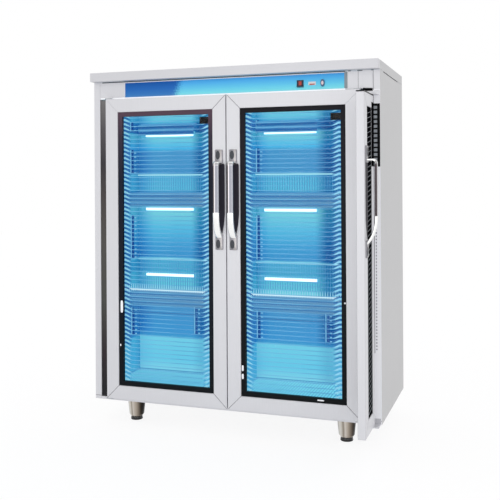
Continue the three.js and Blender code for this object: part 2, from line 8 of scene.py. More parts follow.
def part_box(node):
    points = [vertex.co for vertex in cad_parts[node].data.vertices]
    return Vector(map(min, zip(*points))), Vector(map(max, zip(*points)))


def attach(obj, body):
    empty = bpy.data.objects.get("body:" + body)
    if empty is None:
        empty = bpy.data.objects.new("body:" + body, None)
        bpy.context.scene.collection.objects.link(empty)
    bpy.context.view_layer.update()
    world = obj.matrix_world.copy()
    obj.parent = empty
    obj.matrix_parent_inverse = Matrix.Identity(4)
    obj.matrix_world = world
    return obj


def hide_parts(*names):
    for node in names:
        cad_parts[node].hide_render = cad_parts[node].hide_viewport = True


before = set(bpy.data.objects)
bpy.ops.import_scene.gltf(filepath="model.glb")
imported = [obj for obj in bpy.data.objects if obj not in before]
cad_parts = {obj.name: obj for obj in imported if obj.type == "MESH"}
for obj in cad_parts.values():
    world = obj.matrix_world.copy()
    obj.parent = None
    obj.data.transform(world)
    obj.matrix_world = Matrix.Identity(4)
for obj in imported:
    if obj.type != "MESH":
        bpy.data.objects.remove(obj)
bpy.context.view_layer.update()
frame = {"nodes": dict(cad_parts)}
nodes = frame["nodes"]
mm = 0.001
bays = ("left", "right")
print("frame loaded:", len(nodes), "nodes")

bodyLow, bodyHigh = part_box("worktop")
middleX = (bodyLow.x + bodyHigh.x) / 2
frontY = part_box("fascia_panel")[0].y
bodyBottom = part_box("left_side_casing")[0].z / mm
halfWidth = (bodyHigh.x - bodyLow.x) / 2 / mm


def placed(x, y, z):
    # millimetres from the cabinet's middle, its front plane and the floor
    return Vector((middleX + x * mm, frontY + y * mm, z * mm))


def spaced(low, high, pitch):
    # inner places that part a length into equal steps, each close to a pitch in millimetres
    count = round((high - low) / mm / pitch)
    return [low + (high - low) * i / count for i in range(1, count)]


def steps(start, stop, pitch):
    # places from a start up to a stop, at an even pitch
    return [start + pitch * k for k in range(math.ceil((stop - start) / pitch))]


def turns(count):
    # the angles of equal steps round a full turn
    return [2 * math.pi * k / count for k in range(count)]


def oval(wide, tall, count, powers=(1.0, 1.0)):
    # points round an oval; powers below one square its corners
    return [
        (math.copysign(abs(math.cos(a)) ** powers[0], math.cos(a)) * wide / 2,
         math.copysign(abs(math.sin(a)) ** powers[1], math.sin(a)) * tall / 2)
        for a in turns(count)
    ]


# Camera, at the photograph's viewing angle
cameraView = {
    "place": (1.1005, -3.1416, 1.0186), "turn": -19.014, "roll": -0.312,
    "lens": 57.78, "sensor": 36, "shiftY": -0.147,
}


def addCamera(values):
    turn, roll = math.radians(values["turn"]), math.radians(values["roll"])
    forward = Vector((math.sin(turn), math.cos(turn), 0))
    right, up = Vector((math.cos(turn), -math.sin(turn), 0)), Vector((0, 0, 1))
    acrossFrame = right * math.cos(roll) + up * math.sin(roll)
    upFrame = up * math.cos(roll) - right * math.sin(roll)
    data = bpy.data.cameras.new("camera")
    data.lens, data.sensor_width, data.shift_y = values["lens"], values["sensor"], values["shiftY"]
    camera = bpy.data.objects.new("camera", data)
    directions = Matrix((acrossFrame, upFrame, -forward)).transposed().to_4x4()
    camera.matrix_world = Matrix.Translation(values["place"]) @ directions
    bpy.context.scene.collection.objects.link(camera)
    bpy.context.scene.camera = camera


addCamera(cameraView)


# Colour and node helpers
def linear(code):
    parts = [int(code[i:i + 2], 16) / 255 for i in (1, 3, 5)]
    return tuple(c / 12.92 if c <= 0.04045 else ((c + 0.055) / 1.055) ** 2.4 for c in parts) + (1.0,)


def darker(code, share):
    return tuple(c * share for c in linear(code)[:3]) + (1.0,)


def setInputs(tree, node, values):
    # a socket is linked, a node by its first output in use, and any other value is written on the input
    for socket, value in values.items():
        if isinstance(value, bpy.types.Node):
            value = next(output for output in value.outputs if output.enabled)
        if isinstance(value, bpy.types.NodeSocket):
            tree.links.new(value, node.inputs[socket])
        else:
            node.inputs[socket].default_value = value


def addNode(tree, kind, inputs=None, stops=None, **settings):
    node = tree.nodes.new(kind)
    for key, value in settings.items():
        setattr(node, key, value)
    setInputs(tree, node, inputs or {})
    if stops:
        elements = node.color_ramp.elements
        while len(elements) < len(stops):
            elements.new(0.5)
        for element, (place, code) in zip(elements, stops):
            element.position, element.color = place, linear(code)
    return node


def newMaterial(name):
    material = bpy.data.materials.new(name)
    material.use_nodes = True
    return material, material.node_tree, material.node_tree.nodes["Principled BSDF"]


# Satin stainless sheet, hairline brushed: pale grey, soft highlights, faint streaks along the grain
def satinSteelSheet(name, colour, grain=(1.0, 1.0, 0.03), metallic=0.35, contrast=1.0, glow=0.0):
    material, tree, shader = newMaterial(name)
    grainWidth = 1.6 * mm  # the real hairlines are 0.1 mm wide, too fine to show
    cloudWidth, roughness = 240 * mm, 0.42
    place = addNode(tree, "ShaderNodeTexCoord").outputs["Object"]
    mapping = addNode(tree, "ShaderNodeMapping", {"Vector": place, "Scale": grain})
    streaks = addNode(tree, "ShaderNodeTexNoise", {
        "Vector": mapping, "Scale": 1 / grainWidth, "Detail": 3.0, "Roughness": 0.6,
    })
    clouds = addNode(tree, "ShaderNodeTexNoise", {"Vector": place, "Scale": 1 / cloudWidth, "Detail": 2.0})
    tint = addNode(tree, "ShaderNodeMix", {
        "Factor": clouds, "A": linear(colour), "B": darker(colour, 0.965),
    }, data_type="RGBA")
    shade = addNode(tree, "ShaderNodeMapRange", {
        "Value": streaks, "From Min": 0.3, "From Max": 0.7,
        "To Min": 1 - 0.022 * contrast, "To Max": 1 + 0.018 * contrast,
    })
    grained = addNode(tree, "ShaderNodeVectorMath", {0: tint, "Scale": shade}, operation="SCALE")
    rough = addNode(tree, "ShaderNodeMapRange", {
        "Value": streaks, "From Min": 0.3, "From Max": 0.7,
        "To Min": roughness - 0.05, "To Max": roughness + 0.05,
    })
    bump = addNode(tree, "ShaderNodeBump", {"Height": streaks, "Strength": 0.06, "Distance": 0.1 * mm})
    setInputs(tree, shader, {"Base Color": grained, "Roughness": rough, "Normal": bump, "Metallic": metallic})
    # glow paints light into the sheet as emission in its own colour
    if glow:
        setInputs(tree, shader, {"Emission Color": linear(colour), "Emission Strength": glow})
    return material


# Spun steel leg: a painted reflection of the room in tall streaks, pale at the left and black at the right,
# set by which way the turned wall faces
def spunSteel(name):
    material, tree, shader = newMaterial(name)
    streakWidth = 17 * mm
    place = addNode(tree, "ShaderNodeTexCoord")
    mapping = addNode(tree, "ShaderNodeMapping", {
        "Vector": place.outputs["Object"], "Scale": (1.0, 1.0, 0.04),
    })
    streaks = addNode(tree, "ShaderNodeTexNoise", {
        "Vector": mapping, "Scale": 1 / streakWidth, "Detail": 2.0, "Roughness": 0.55,
    })
    facing = addNode(tree, "ShaderNodeSeparateXYZ", {"Vector": place.outputs["Normal"]})
    turned = addNode(tree, "ShaderNodeMath", {
        0: facing.outputs["X"], 1: 0.5, 2: 0.44,
    }, operation="MULTIPLY_ADD")
    wobble = addNode(tree, "ShaderNodeMath", {0: streaks, 1: 0.12, 2: turned}, operation="MULTIPLY_ADD")
    tone = addNode(tree, "ShaderNodeValToRGB", {"Fac": wobble}, stops=(
        (0.05, "#9d9b95"), (0.18, "#d6d4ce"), (0.32, "#c6c0b6"), (0.42, "#8e8579"), (0.5, "#cfc8bf"),
        (0.64, "#b0a598"), (0.78, "#857a6e"), (0.9, "#3c342c"), (0.98, "#14110f"),
    ))
    setInputs(tree, shader, {"Base Color": tone, "Metallic": 0.85, "Roughness": 0.3})
    return material


# Polished stainless liner under ultraviolet lamps, with their blue-green glow painted on as emission,
# strongest beside each tube
def paintedGlowSteel(name, heightStops, acrossStops, low, high, axis="X", glow=1.0, above=None):
    material, tree, shader = newMaterial(name)
    rippleWidth, wander = 90 * mm, 3 * mm
    place = addNode(tree, "ShaderNodeTexCoord").outputs["Object"]
    parts = addNode(tree, "ShaderNodeSeparateXYZ", {"Vector": place}).outputs
    ripple = addNode(tree, "ShaderNodeTexNoise", {"Vector": place, "Scale": 1 / rippleWidth, "Detail": 1.0})
    drift = addNode(tree, "ShaderNodeMapRange", {"Value": ripple, "To Min": -wander, "To Max": wander})
    level = addNode(tree, "ShaderNodeMath", {0: parts["Z"], 1: drift}, operation="ADD")
    height = addNode(tree, "ShaderNodeMapRange", {"Value": level, "From Min": low.z, "From Max": high.z})
    byHeight = addNode(tree, "ShaderNodeValToRGB", {"Fac": height}, stops=heightStops)
    index = "XYZ".index(axis)
    across = addNode(tree, "ShaderNodeMapRange", {
        "Value": parts[axis], "From Min": low[index], "From Max": high[index],
    })
    byWidth = addNode(tree, "ShaderNodeValToRGB", {"Fac": across}, stops=acrossStops)
    share = 1.0
    if above:  # between these two heights the change from side to side sets in
        share = addNode(tree, "ShaderNodeMapRange", {
            "Value": parts["Z"], "From Min": above[0] * mm, "From Max": above[1] * mm, "To Min": 0.3,
        })
    lit = addNode(tree, "ShaderNodeMix", {
        "Factor": share, "A": byHeight, "B": byWidth,
    }, data_type="RGBA", blend_type="MULTIPLY")
    setInputs(tree, shader, {
        "Emission Color": lit, "Emission Strength": glow, "Base Color": linear("#10283c"),
        "Metallic": 0.2, "Roughness": 0.45, "Specular IOR Level": 0.2,
    })
    return material


# Plated wire with the lamps' light painted on as emission: mid blue along its run, a painted highlight where
# a bent end faces the tubes
def paintedGlowWire(name, stops, glow):
    material, tree, shader = newMaterial(name)
    place = addNode(tree, "ShaderNodeTexCoord")
    marks = addNode(tree, "ShaderNodeSeparateXYZ", {"Vector": place.outputs["UV"]})
    tone = addNode(tree, "ShaderNodeValToRGB", {"Fac": marks.outputs["X"]}, stops=stops)
    setInputs(tree, shader, {
        "Emission Color": tone, "Emission Strength": glow, "Base Color": linear("#274e6e"),
        "Metallic": 0.5, "Roughness": 0.35,
    })
    return material


# Chrome plate, polished, with painted reflections: grey and white streaks across the bar, and white where its
# second mark rises
def chromePlate(name, stops, roughness=0.14):
    material, tree, shader = newMaterial(name)
    smearWidth = 30 * mm
    place = addNode(tree, "ShaderNodeTexCoord")
    marks = addNode(tree, "ShaderNodeSeparateXYZ", {"Vector": place.outputs["UV"]})
    streak = addNode(tree, "ShaderNodeValToRGB", {"Fac": marks.outputs["X"]}, stops=stops)
    tone = addNode(tree, "ShaderNodeMix", {
        "Factor": marks.outputs["Y"], "A": streak, "B": linear("#f7f7f6"),
    }, data_type="RGBA")
    smears = addNode(tree, "ShaderNodeTexNoise", {
        "Vector": place.outputs["Object"], "Scale": 1 / smearWidth, "Detail": 3.0,
    })
    rough = addNode(tree, "ShaderNodeMapRange", {
        "Value": smears, "To Min": roughness * 0.6, "To Max": roughness * 1.5,
    })
    setInputs(tree, shader, {"Base Color": tone, "Roughness": rough, "Metallic": 1.0})
    return material


# Black enamel and printed glass border, with painted light by height: deep black below, a painted warm or
# grey sheen higher up
def blackWithPaintedSheen(name, low, high, stops):
    material, tree, shader = newMaterial(name)
    place = addNode(tree, "ShaderNodeTexCoord")
    parts = addNode(tree, "ShaderNodeSeparateXYZ", {"Vector": place.outputs["Object"]})
    height = addNode(tree, "ShaderNodeMapRange", {
        "Value": parts.outputs["Z"], "From Min": low * mm, "From Max": high * mm,
    })
    shade = addNode(tree, "ShaderNodeValToRGB", {"Fac": height}, stops=stops)
    setInputs(tree, shader, {"Base Color": shade, "Roughness": 0.3, "IOR": 1.5, "Specular IOR Level": 0.1})
    return material


def addGrain(tree, width, detail, strength, depth):
    # an even grain, its width and depth in millimetres: the pattern, and the relief that it gives the surface
    place = addNode(tree, "ShaderNodeTexCoord").outputs["Object"]
    pattern = addNode(tree, "ShaderNodeTexNoise", {
        "Vector": place, "Scale": 1 / (width * mm), "Detail": detail,
    })
    return pattern, addNode(tree, "ShaderNodeBump", {
        "Height": pattern, "Strength": strength, "Distance": depth * mm,
    })


# Moulded rubber: matt black with a fine even grain
def mouldedRubber(name, colour="#0d0d10", paler="#17171b", roughness=0.6):
    material, tree, shader = newMaterial(name)
    grain, relief = addGrain(tree, width=1.2, detail=2, strength=0.25, depth=0.2)
    tone = addNode(tree, "ShaderNodeValToRGB", {"Fac": grain}, stops=((0.35, colour), (0.65, paler)))
    setInputs(tree, shader, {
        "Base Color": tone, "Normal": relief, "Roughness": roughness, "Specular IOR Level": 0.2,
    })
    return material


# Injection-moulded ABS: even colour, low sheen, faint mould grain
def mouldedPlastic(name, colour, roughness=0.35, glow=0.0, sheen=0.25):
    material, tree, shader = newMaterial(name)
    grain, relief = addGrain(tree, width=0.9, detail=2, strength=0.15, depth=0.1)
    tone = addNode(tree, "ShaderNodeMix", {
        "Factor": grain, "A": linear(colour), "B": darker(colour, 0.93),
    }, data_type="RGBA")
    setInputs(tree, shader, {
        "Base Color": tone, "Normal": relief, "Roughness": roughness, "IOR": 1.53,
        "Specular IOR Level": sheen,
    })
    # glow is emission in the plastic's own colour: a lit lens, or painted light on a part that has no lamp
    if glow:
        setInputs(tree, shader, {"Emission Color": linear(colour), "Emission Strength": glow})
    return material


# Float glass, clean and clear: a thin dark film over what is behind, mostly see-through
def clearGlass(name):
    material, tree, shader = newMaterial(name)
    smearWidth = 70 * mm
    place = addNode(tree, "ShaderNodeTexCoord")
    smears = addNode(tree, "ShaderNodeTexNoise", {
        "Vector": place.outputs["Object"], "Scale": 1 / smearWidth, "Detail": 2.0,
    })
    rough = addNode(tree, "ShaderNodeMapRange", {"Value": smears, "To Min": 0.0, "To Max": 0.03})
    setInputs(tree, shader, {"Roughness": rough, "Base Color": linear("#16384a"), "Alpha": 0.07, "IOR": 1.5})
    return material


# Printed polyester film: royal blue at the left end, sky blue to teal from top to bottom, satin face, with a
# faint painted glow
def printedFilm(name, low, high):
    material, tree, shader = newMaterial(name)
    dotWidth = 5 * mm
    place = addNode(tree, "ShaderNodeTexCoord").outputs["Object"]
    parts = addNode(tree, "ShaderNodeSeparateXYZ", {"Vector": place}).outputs
    height = addNode(tree, "ShaderNodeMapRange", {"Value": parts["Z"], "From Min": low.z, "From Max": high.z})
    across = addNode(tree, "ShaderNodeMapRange", {"Value": parts["X"], "From Min": low.x, "From Max": high.x})
    paleSide = addNode(tree, "ShaderNodeValToRGB", {"Fac": height}, stops=(
        (0.0, "#98e8f2"), (0.1, "#7ee2f0"), (0.4, "#68ccf0"), (0.75, "#54b4f0"), (1.0, "#3f98e0"),
    ))
    deepSide = addNode(tree, "ShaderNodeValToRGB", {"Fac": height}, stops=(
        (0.0, "#5a94cc"), (0.1, "#3f80c4"), (0.5, "#2a6cbc"), (1.0, "#1c58a8"),
    ))
    dots = addNode(tree, "ShaderNodeTexNoise", {"Vector": place, "Scale": 1 / dotWidth, "Detail": 0.0})
    slant = addNode(tree, "ShaderNodeMath", {0: height, 1: -0.022, 2: across}, operation="MULTIPLY_ADD")
    speckled = addNode(tree, "ShaderNodeMath", {0: dots, 1: 0.03, 2: slant}, operation="MULTIPLY_ADD")
    boundary = addNode(tree, "ShaderNodeMapRange", {
        "Value": speckled, "From Min": 0.238, "From Max": 0.286,
    }, interpolation_type="SMOOTHSTEP")
    colour = addNode(tree, "ShaderNodeMix", {
        "Factor": boundary, "A": deepSide, "B": paleSide,
    }, data_type="RGBA")
    setInputs(tree, shader, {
        "Base Color": colour, "Emission Color": colour, "Emission Strength": 0.14,
        "Roughness": 0.55, "Specular IOR Level": 0.08,
    })
    return material


# Fluorescent tube: quartz glass lit from within, almost white with a cyan edge
def litTube(name):
    material, tree, shader = newMaterial(name)
    edge = addNode(tree, "ShaderNodeLayerWeight", {"Blend": 0.4})
    tone = addNode(tree, "ShaderNodeValToRGB", {"Fac": edge.outputs["Facing"]}, stops=(
        (0.0, "#f4ffff"), (0.85, "#9aeaf4"),
    ))
    setInputs(tree, shader, {
        "Emission Color": tone, "Emission Strength": 1.4, "Base Color": linear("#cfeaf0"),
        "Roughness": 0.2,
    })
    return material


# Sprayed paint on a steel box: flat warm grey with a little orange peel
def sprayedPaint(name, colour):
    material, tree, shader = newMaterial(name)
    peel, relief = addGrain(tree, width=2.5, detail=1, strength=0.2, depth=0.2)
    tone = addNode(tree, "ShaderNodeMix", {
        "Factor": peel, "A": linear(colour), "B": darker(colour, 0.9),
    }, data_type="RGBA")
    setInputs(tree, shader, {"Base Color": tone, "Normal": relief, "Roughness": 0.45})
    return material


chamberLow = Vector((
    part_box("liner_left")[1].x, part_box("centre_partition")[0].y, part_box("liner_floor")[1].z))
chamberHigh = Vector((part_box("liner_right")[0].x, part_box("liner_back")[0].y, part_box("liner_top")[0].z))


def levels(*stops):
    # heights in millimetres turned to shares of the chamber's height
    low, high = chamberLow.z / mm, chamberHigh.z / mm
    return tuple(((z - low) / (high - low), code) for z, code in stops)


def plain(code):
    # one colour all over
    return (0.0, code), (1.0, code)


# The lamps' light painted on the walls: by height on all the walls, and across each of them
glowByHeight = levels(
    (142.3, "#86d6ea"), (200, "#6accea"), (296, "#76d2ea"), (303, "#3f9ad0"), (320, "#4396d2"),
    (430, "#4a94cc"), (446, "#3c7cb4"), (506, "#4287bc"), (512, "#7ad0e2"), (590, "#68c8de"),
    (597, "#50b0d4"), (646, "#58b6d8"), (650, "#9ee4f2"), (657, "#3f92cc"), (720, "#4aa2d6"),
    (786, "#5cbce2"), (866, "#86d4e0"), (886, "#82ccdc"), (894, "#3f86bc"), (952, "#4a94c6"),
    (958, "#66c2e0"), (1020, "#60bade"), (1026, "#a8ecf6"), (1034, "#4a92c8"), (1130, "#5098cc"),
    (1148, "#54bcea"), (1196, "#82d0de"), (1212, "#78cade"), (1218, "#2f74b4"), (1256, "#3c88c4"),
    (1266, "#66c0de"), (1312, "#88d4e4"),
)
glowAcross = (
    (0.0, "#8ac4e6"), (0.03, "#c8e8f8"), (0.06, "#e6ffff"), (0.225, "#e6ffff"), (0.262, "#4ca6c6"),
    (0.40, "#3c9cc0"), (0.492, "#4ca6c6"), (0.507, "#84c0e0"), (0.53, "#c0e8f8"), (0.56, "#e6ffff"),
    (0.74, "#e6ffff"), (0.785, "#3692bc"), (0.9, "#2c88b2"), (1.0, "#3690b8"),
)
sideAcross = ((0.0, "#5c9cc0"), (0.35, "#78b8d8"), (0.8, "#9ad4ee"), (1.0, "#74b4d8"))
farAcross = ((0.0, "#34708f"), (0.35, "#3e80a8"), (0.8, "#4c94bc"), (1.0, "#3e80a8"))
partitionAcross = ((0.0, "#4a86ac"), (0.45, "#4a86ac"), (0.55, "#8ccae8"), (1.0, "#8ccae8"))
# stripes of painted light and shade on the lamp hood
hoodByHeight = levels(
    (1205, "#2f74b4"), (1214, "#245fa4"), (1222, "#2b6cb0"), (1226, "#5aa2d6"), (1233, "#4a94cc"),
    (1238, "#1f5c9e"), (1247, "#2a6cae"), (1252, "#4f9cd0"),
)
wireStops = ((0.0, "#5ea6d6"), (0.1, "#74c0e8"), (0.45, "#74c6f0"), (0.8, "#a4e8ff"), (1.0, "#94e0fc"))
gripReflectionStops = (
    (0.0, "#4a4246"), (0.14, "#5a5256"), (0.23, "#6f676b"), (0.27, "#fbf9f9"), (0.35, "#f2eeef"),
    (0.4, "#95959d"), (0.78, "#85868f"), (0.9, "#b4b6bd"), (1.0, "#8c8e95"),
)
plateReflectionStops = ((0.0, "#8b8a8f"), (0.3, "#858489"), (0.6, "#98969a"), (0.75, "#aca8a6"), (1.0, "#96949a"))
partitionLow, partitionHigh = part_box("centre_partition")
chamber = (chamberLow, chamberHigh)

finish = {
    "frontSheet": satinSteelSheet("satin_steel_front", "#e1e1e5"),
    "doorSheet": satinSteelSheet("satin_steel_door", "#e1e1e5"),
    "stileFacing": satinSteelSheet("satin_steel_stile_painted_light", "#e3e3e7", metallic=0.1, glow=0.3),
    # the front's steel made darker: painted shade for the sides
    "sideSheet": satinSteelSheet("satin_steel_side_painted_shade", "#cacacb", contrast=0.4),
    "topSheet": satinSteelSheet("satin_steel_worktop", "#dadade", grain=(0.03, 1.0, 1.0)),
    "bracketSteel": satinSteelSheet("zinc_plated_bracket", "#b9bcc0", grain=(1.0, 1.0, 1.0), metallic=0.8),
    "legSteelReflection": spunSteel("spun_steel_leg_painted_reflection"),
    "backWall": paintedGlowSteel(
        "painted_glow_steel_back", glowByHeight, glowAcross, *chamber, glow=1.06, above=(300, 330)),
    "sideWall": paintedGlowSteel("painted_glow_steel_side", glowByHeight, sideAcross, *chamber, axis="Y"),
    "farWall": paintedGlowSteel("painted_glow_steel_far_side", glowByHeight, farAcross, *chamber, axis="Y"),
    "partitionWall": paintedGlowSteel(
        "painted_glow_steel_partition", glowByHeight, partitionAcross,
        Vector((partitionLow.x, *chamberLow.yz)), Vector((partitionHigh.x, *chamberHigh.yz))),
    "chamberFloor": paintedGlowSteel(
        "painted_glow_steel_floor", ((0.0, "#86e0f0"), (1.0, "#8ee2ee")), ((0.0, "#d8f0fa"), (1.0, "#f2ffff")),
        *chamber, axis="Y"),
    "hood": paintedGlowSteel("painted_glow_steel_hood", hoodByHeight, plain("#ffffff"), *chamber),
    "guardWire": paintedGlowWire("painted_glow_guard_wire", wireStops, 0.85),
    "guardShadow": paintedGlowWire("painted_glow_guard_shadow", ((0.0, "#1f62a6"), (1.0, "#48a8d8")), 0.9),
    "shelfWire": paintedGlowWire("painted_glow_shelf_wire", ((0.0, "#5a9ed0"), (1.0, "#7ab8dc")), 0.8),
    "bandLight": paintedGlowWire(
        "painted_glow_band_light", ((0.0, "#549ccc"), (0.7, "#6098be"), (1.0, "#7698a8")), 0.85),
    "bandDark": paintedGlowWire(
        "painted_glow_band_dark", ((0.0, "#2a72b2"), (0.8, "#3b78ac"), (1.0, "#53839c")), 0.85),
    "railWire": paintedGlowWire("painted_glow_rail_wire", ((0.0, "#3f8cc0"), (1.0, "#aef0fa")), 0.9),
    "dividerWire": paintedGlowWire("painted_glow_divider_wire", ((0.0, "#8ed8ee"), (1.0, "#d6f8fd")), 0.95),
    "standardDark": paintedGlowWire("painted_glow_slot_dark", plain("#0f4088"), 0.9),
    "standardLight": paintedGlowWire("painted_glow_slot_light", plain("#8ad2f4"), 0.8),
    "socket": paintedGlowWire("painted_glow_socket", plain("#58b8d8"), 0.9),
    "tube": litTube("lit_tube"),
    "glass": clearGlass("float_glass"),
    "gripChrome": chromePlate("polished_chrome_grip_painted_reflection", gripReflectionStops),
    "plateChrome": chromePlate("polished_chrome_plate_painted_reflection", plateReflectionStops, roughness=0.25),
    "leftBorder": blackWithPaintedSheen("black_printed_border_left_painted_sheen", 160, 1290, (
        (0.0, "#0b1116"), (0.4, "#161c26"), (0.75, "#1d2130"), (0.9, "#3c3644"), (1.0, "#604a57"),
    )),
    "rightBorder": blackWithPaintedSheen("black_printed_border_right_painted_sheen", 160, 1290, (
        (0.0, "#0b1013"), (0.5, "#15181c"), (0.9, "#1f1d24"), (1.0, "#15141a"),
    )),
    "revealGloss": blackWithPaintedSheen("dark_gloss_reveal_painted_shade_and_sheen", 140, 1340, (
        (0.0, "#2b2c2e"), (0.12, "#3a3236"), (0.3, "#555551"), (0.5, "#5d5b58"), (0.65, "#55504f"),
        (0.78, "#454246"), (0.9, "#646164"), (1.0, "#82807f"),
    )),
    "rubber": mouldedRubber("moulded_rubber"),
    "seamShadow": mouldedRubber("seam_shadow", colour="#59555c", paler="#66626a", roughness=0.7),
    "deepSeam": mouldedRubber("deep_seam_shadow", colour="#38343a", paler="#454046", roughness=0.7),
    "padRubber": mouldedPlastic("polished_black_pad", "#100f10", roughness=0.2, sheen=0.5),
    "blackAbs": mouldedPlastic("black_moulded_plastic", "#0f0f12", sheen=0.1),
    "brownAbs": mouldedPlastic("sensor_moulded_plastic", "#241f1c", sheen=0.05),
    "rockerAbs": mouldedPlastic("rocker_moulded_plastic", "#3b3f4c", sheen=0.1),
    "smokedGlass": mouldedPlastic("smoked_black_glass", "#0c0e12", roughness=0.3, sheen=0.0),
    "mattBlack": mouldedPlastic("matt_black_cover_and_painted_shadow", "#0c0c0f", roughness=0.8, sheen=0.0),
    "handleShadow": mouldedPlastic("painted_handle_shadow", "#38353f", roughness=0.5, sheen=0.1),
    "screwGlass": mouldedPlastic("dark_screw_cap", "#45484e", roughness=0.3),
    "zincWire": mouldedPlastic("zinc_plated_wire", "#8f959c", roughness=0.4, sheen=0.2),
    "louvreGrey": mouldedPlastic("grey_louvre", "#a7acb2", roughness=0.4),
    "redLens": mouldedPlastic("red_lens", "#b8483e", roughness=0.3, glow=0.15),
    "whiteLens": mouldedPlastic("white_lens", "#f0eeee", roughness=0.2),
    "pinkLens": mouldedPlastic("pink_white_lens", "#ecd6d8", roughness=0.2, glow=0.1),
    "ovalRim": mouldedPlastic("oval_button_rim", "#5b7394", roughness=0.3, sheen=0.1),
    "whiteClipAndGlint": mouldedPlastic("white_clip_and_painted_glint", "#f4f6fa", roughness=0.3, glow=0.2),
    "greyTrim": mouldedPlastic("grey_painted_shade_trim", "#9aa4aa", roughness=0.35),
    "whiteTrim": mouldedPlastic("white_painted_highlight_trim", "#f2f4f8", roughness=0.3),
    "edgeGleam": mouldedPlastic("fascia_edge_painted_light", "#f2f4f8", roughness=0.3, glow=0.5),
    "film": printedFilm("printed_film", *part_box("control_film")),
    "paint": sprayedPaint("sprayed_ballast_paint", "#8d9094"),
}
print("finishes made:", len(finish))


# Mesh helpers
def smoothShade(mesh, angle):
    # smooth faces, with every edge sharper than the angle kept crisp
    bm = bmesh.new()
    bm.from_mesh(mesh)
    for face in bm.faces:
        face.smooth = True
    for edge in bm.edges:
        edge.smooth = len(edge.link_faces) == 2 and edge.calc_face_angle(0.0) < math.radians(angle)
    bm.to_mesh(mesh)
    bm.free()


def addPiece(name, bm, look, body="cabinet", replaced=(), angle=35):
    # turns a finished bmesh into a named piece with its finish, which rides a body of the frame
    bmesh.ops.recalc_face_normals(bm, faces=bm.faces)
    mesh = bpy.data.meshes.new(name)
    bm.to_mesh(mesh)
    bm.free()
    mesh.materials.append(finish[look])
    smoothShade(mesh, angle)
    piece = bpy.data.objects.new(name, mesh)
    bpy.context.scene.collection.objects.link(piece)
    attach(piece, body)
    if replaced:
        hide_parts(*replaced)


def addLoft(bm, rings, marks=None, closed=False):
    # rings of points joined in turn; marks give each point's texture coordinates
    layer = bm.loops.layers.uv.verify()
    spots, loops = {}, []
    for j, ring in enumerate(rings):
        made = [bm.verts.new(point) for point in ring]
        for i, vertex in enumerate(made):
            spots[vertex] = marks[j][i] if marks else (0.0, 0.0)
        loops.append(made)
    pairs = list(zip(loops, loops[1:]))
    if closed:
        pairs.append((loops[-1], loops[0]))
    faces = []
    for first, second in pairs:
        for i in range(len(first)):
            j = (i + 1) % len(first)
            faces.append(bm.faces.new((first[i], first[j], second[j], second[i])))
    if not closed:
        faces += [bm.faces.new(loops[0]), bm.faces.new(loops[-1])]
    for face in faces:
        for loop in face.loops:
            loop[layer].uv = spots[loop.vert]


def addRod(bm, points, radius, count=6, mark=0.0):
    # a round wire along a line of points, mitred at each bend; radius and mark may vary along it
    points = [Vector(p) for p in points]
    radii = radius if isinstance(radius, (list, tuple)) else [radius] * len(points)
    tones = mark if isinstance(mark, (list, tuple)) else [mark] * len(points)
    rings, marks = [], []
    side = None
    for i, point in enumerate(points):
        before = (point - points[i - 1]).normalized() if i else None
        after = (points[i + 1] - point).normalized() if i + 1 < len(points) else None
        along = ((before or after) + (after or before)).normalized()
        if side is None:
            side = along.orthogonal().normalized()
        side = (side - along * side.dot(along)).normalized()
        other = along.cross(side)
        stretch = 1 / max(0.5, along.dot(before or after))
        reach = radii[i] * (1 + (stretch - 1) * 0.5)
        rings.append([point + (side * math.cos(a) + other * math.sin(a)) * reach for a in turns(count)])
        marks.append([(tones[i], 0.0)] * count)
    addLoft(bm, rings, marks)


def addBlock(bm, corner, opposite, bevel):
    # a box between any two opposite corners, with its edges rounded
    low = Vector([min(a, b) for a, b in zip(corner, opposite)])
    high = Vector([max(a, b) for a, b in zip(corner, opposite)])
    vertices = bmesh.ops.create_cube(bm, size=1.0)["verts"]
    for vertex in vertices:
        vertex.co = vertex.co * (high - low) + (high + low) / 2
    edges = list({e for v in vertices for e in v.link_edges})
    bmesh.ops.bevel(bm, geom=edges, offset=bevel, segments=2, affect="EDGES")


def addSliver(bm, corner, opposite, bevel):
    # a thin rounded strip between two corners given in millimetres from the cabinet's middle
    addBlock(bm, placed(*corner), placed(*opposite), bevel * mm)


def addLathe(bm, profile, centre, axis=Vector((0, 0, 1)), count=48):
    # profile of (radius, height) pairs in millimetres, turned round an axis
    side = axis.orthogonal().normalized()
    other = axis.cross(side)
    addLoft(bm, [
        [centre + (axis * height + (side * math.cos(a) + other * math.sin(a)) * radius) * mm
         for a in turns(count)]
        for radius, height in profile
    ])


def softenEdges(node, width, segments):
    # small rounded arrises on a CAD node, so that its edges catch light
    weld = node.modifiers.new("weld", "WELD")
    weld.merge_threshold = 0.01 * mm
    bevel = node.modifiers.new("arris", "BEVEL")
    bevel.width, bevel.segments, bevel.limit_method = width * mm, segments, "ANGLE"
    bevel.angle_limit = math.radians(40)


# Panels: each door in its own directions, across, up and outward
class Panel:
    def __init__(self, label, across, outward, origin):
        self.label, self.body = label, label + "_door"
        self.across, self.outward, self.origin = across, outward, origin
        low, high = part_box(self.body + "_frame")
        self.width, self.depth = (abs((high - low).dot(way)) / mm for way in (across, outward))
        self.height, self.foot = (high.z - low.z) / mm, low.z / mm
        self.members = doorFrame["members"][label]

    def at(self, u, v, n):
        # millimetres across, up and outward from the front face's low corner
        return self.origin + (self.across * u + self.outward * n + Vector((0, 0, v))) * mm

    def block(self, bm, corner, opposite, bevel):
        addBlock(bm, self.at(*corner), self.at(*opposite), bevel * mm)

    def piece(self, name, bm, look, slot, replaced=(), angle=35):
        # a piece that rides with this door; what it replaces is named after the door as well
        nodes = [f"{self.body}_{node}" for node in replaced]
        addPiece(f"{self.body}_{name}", bm, look, self.body, nodes, angle)


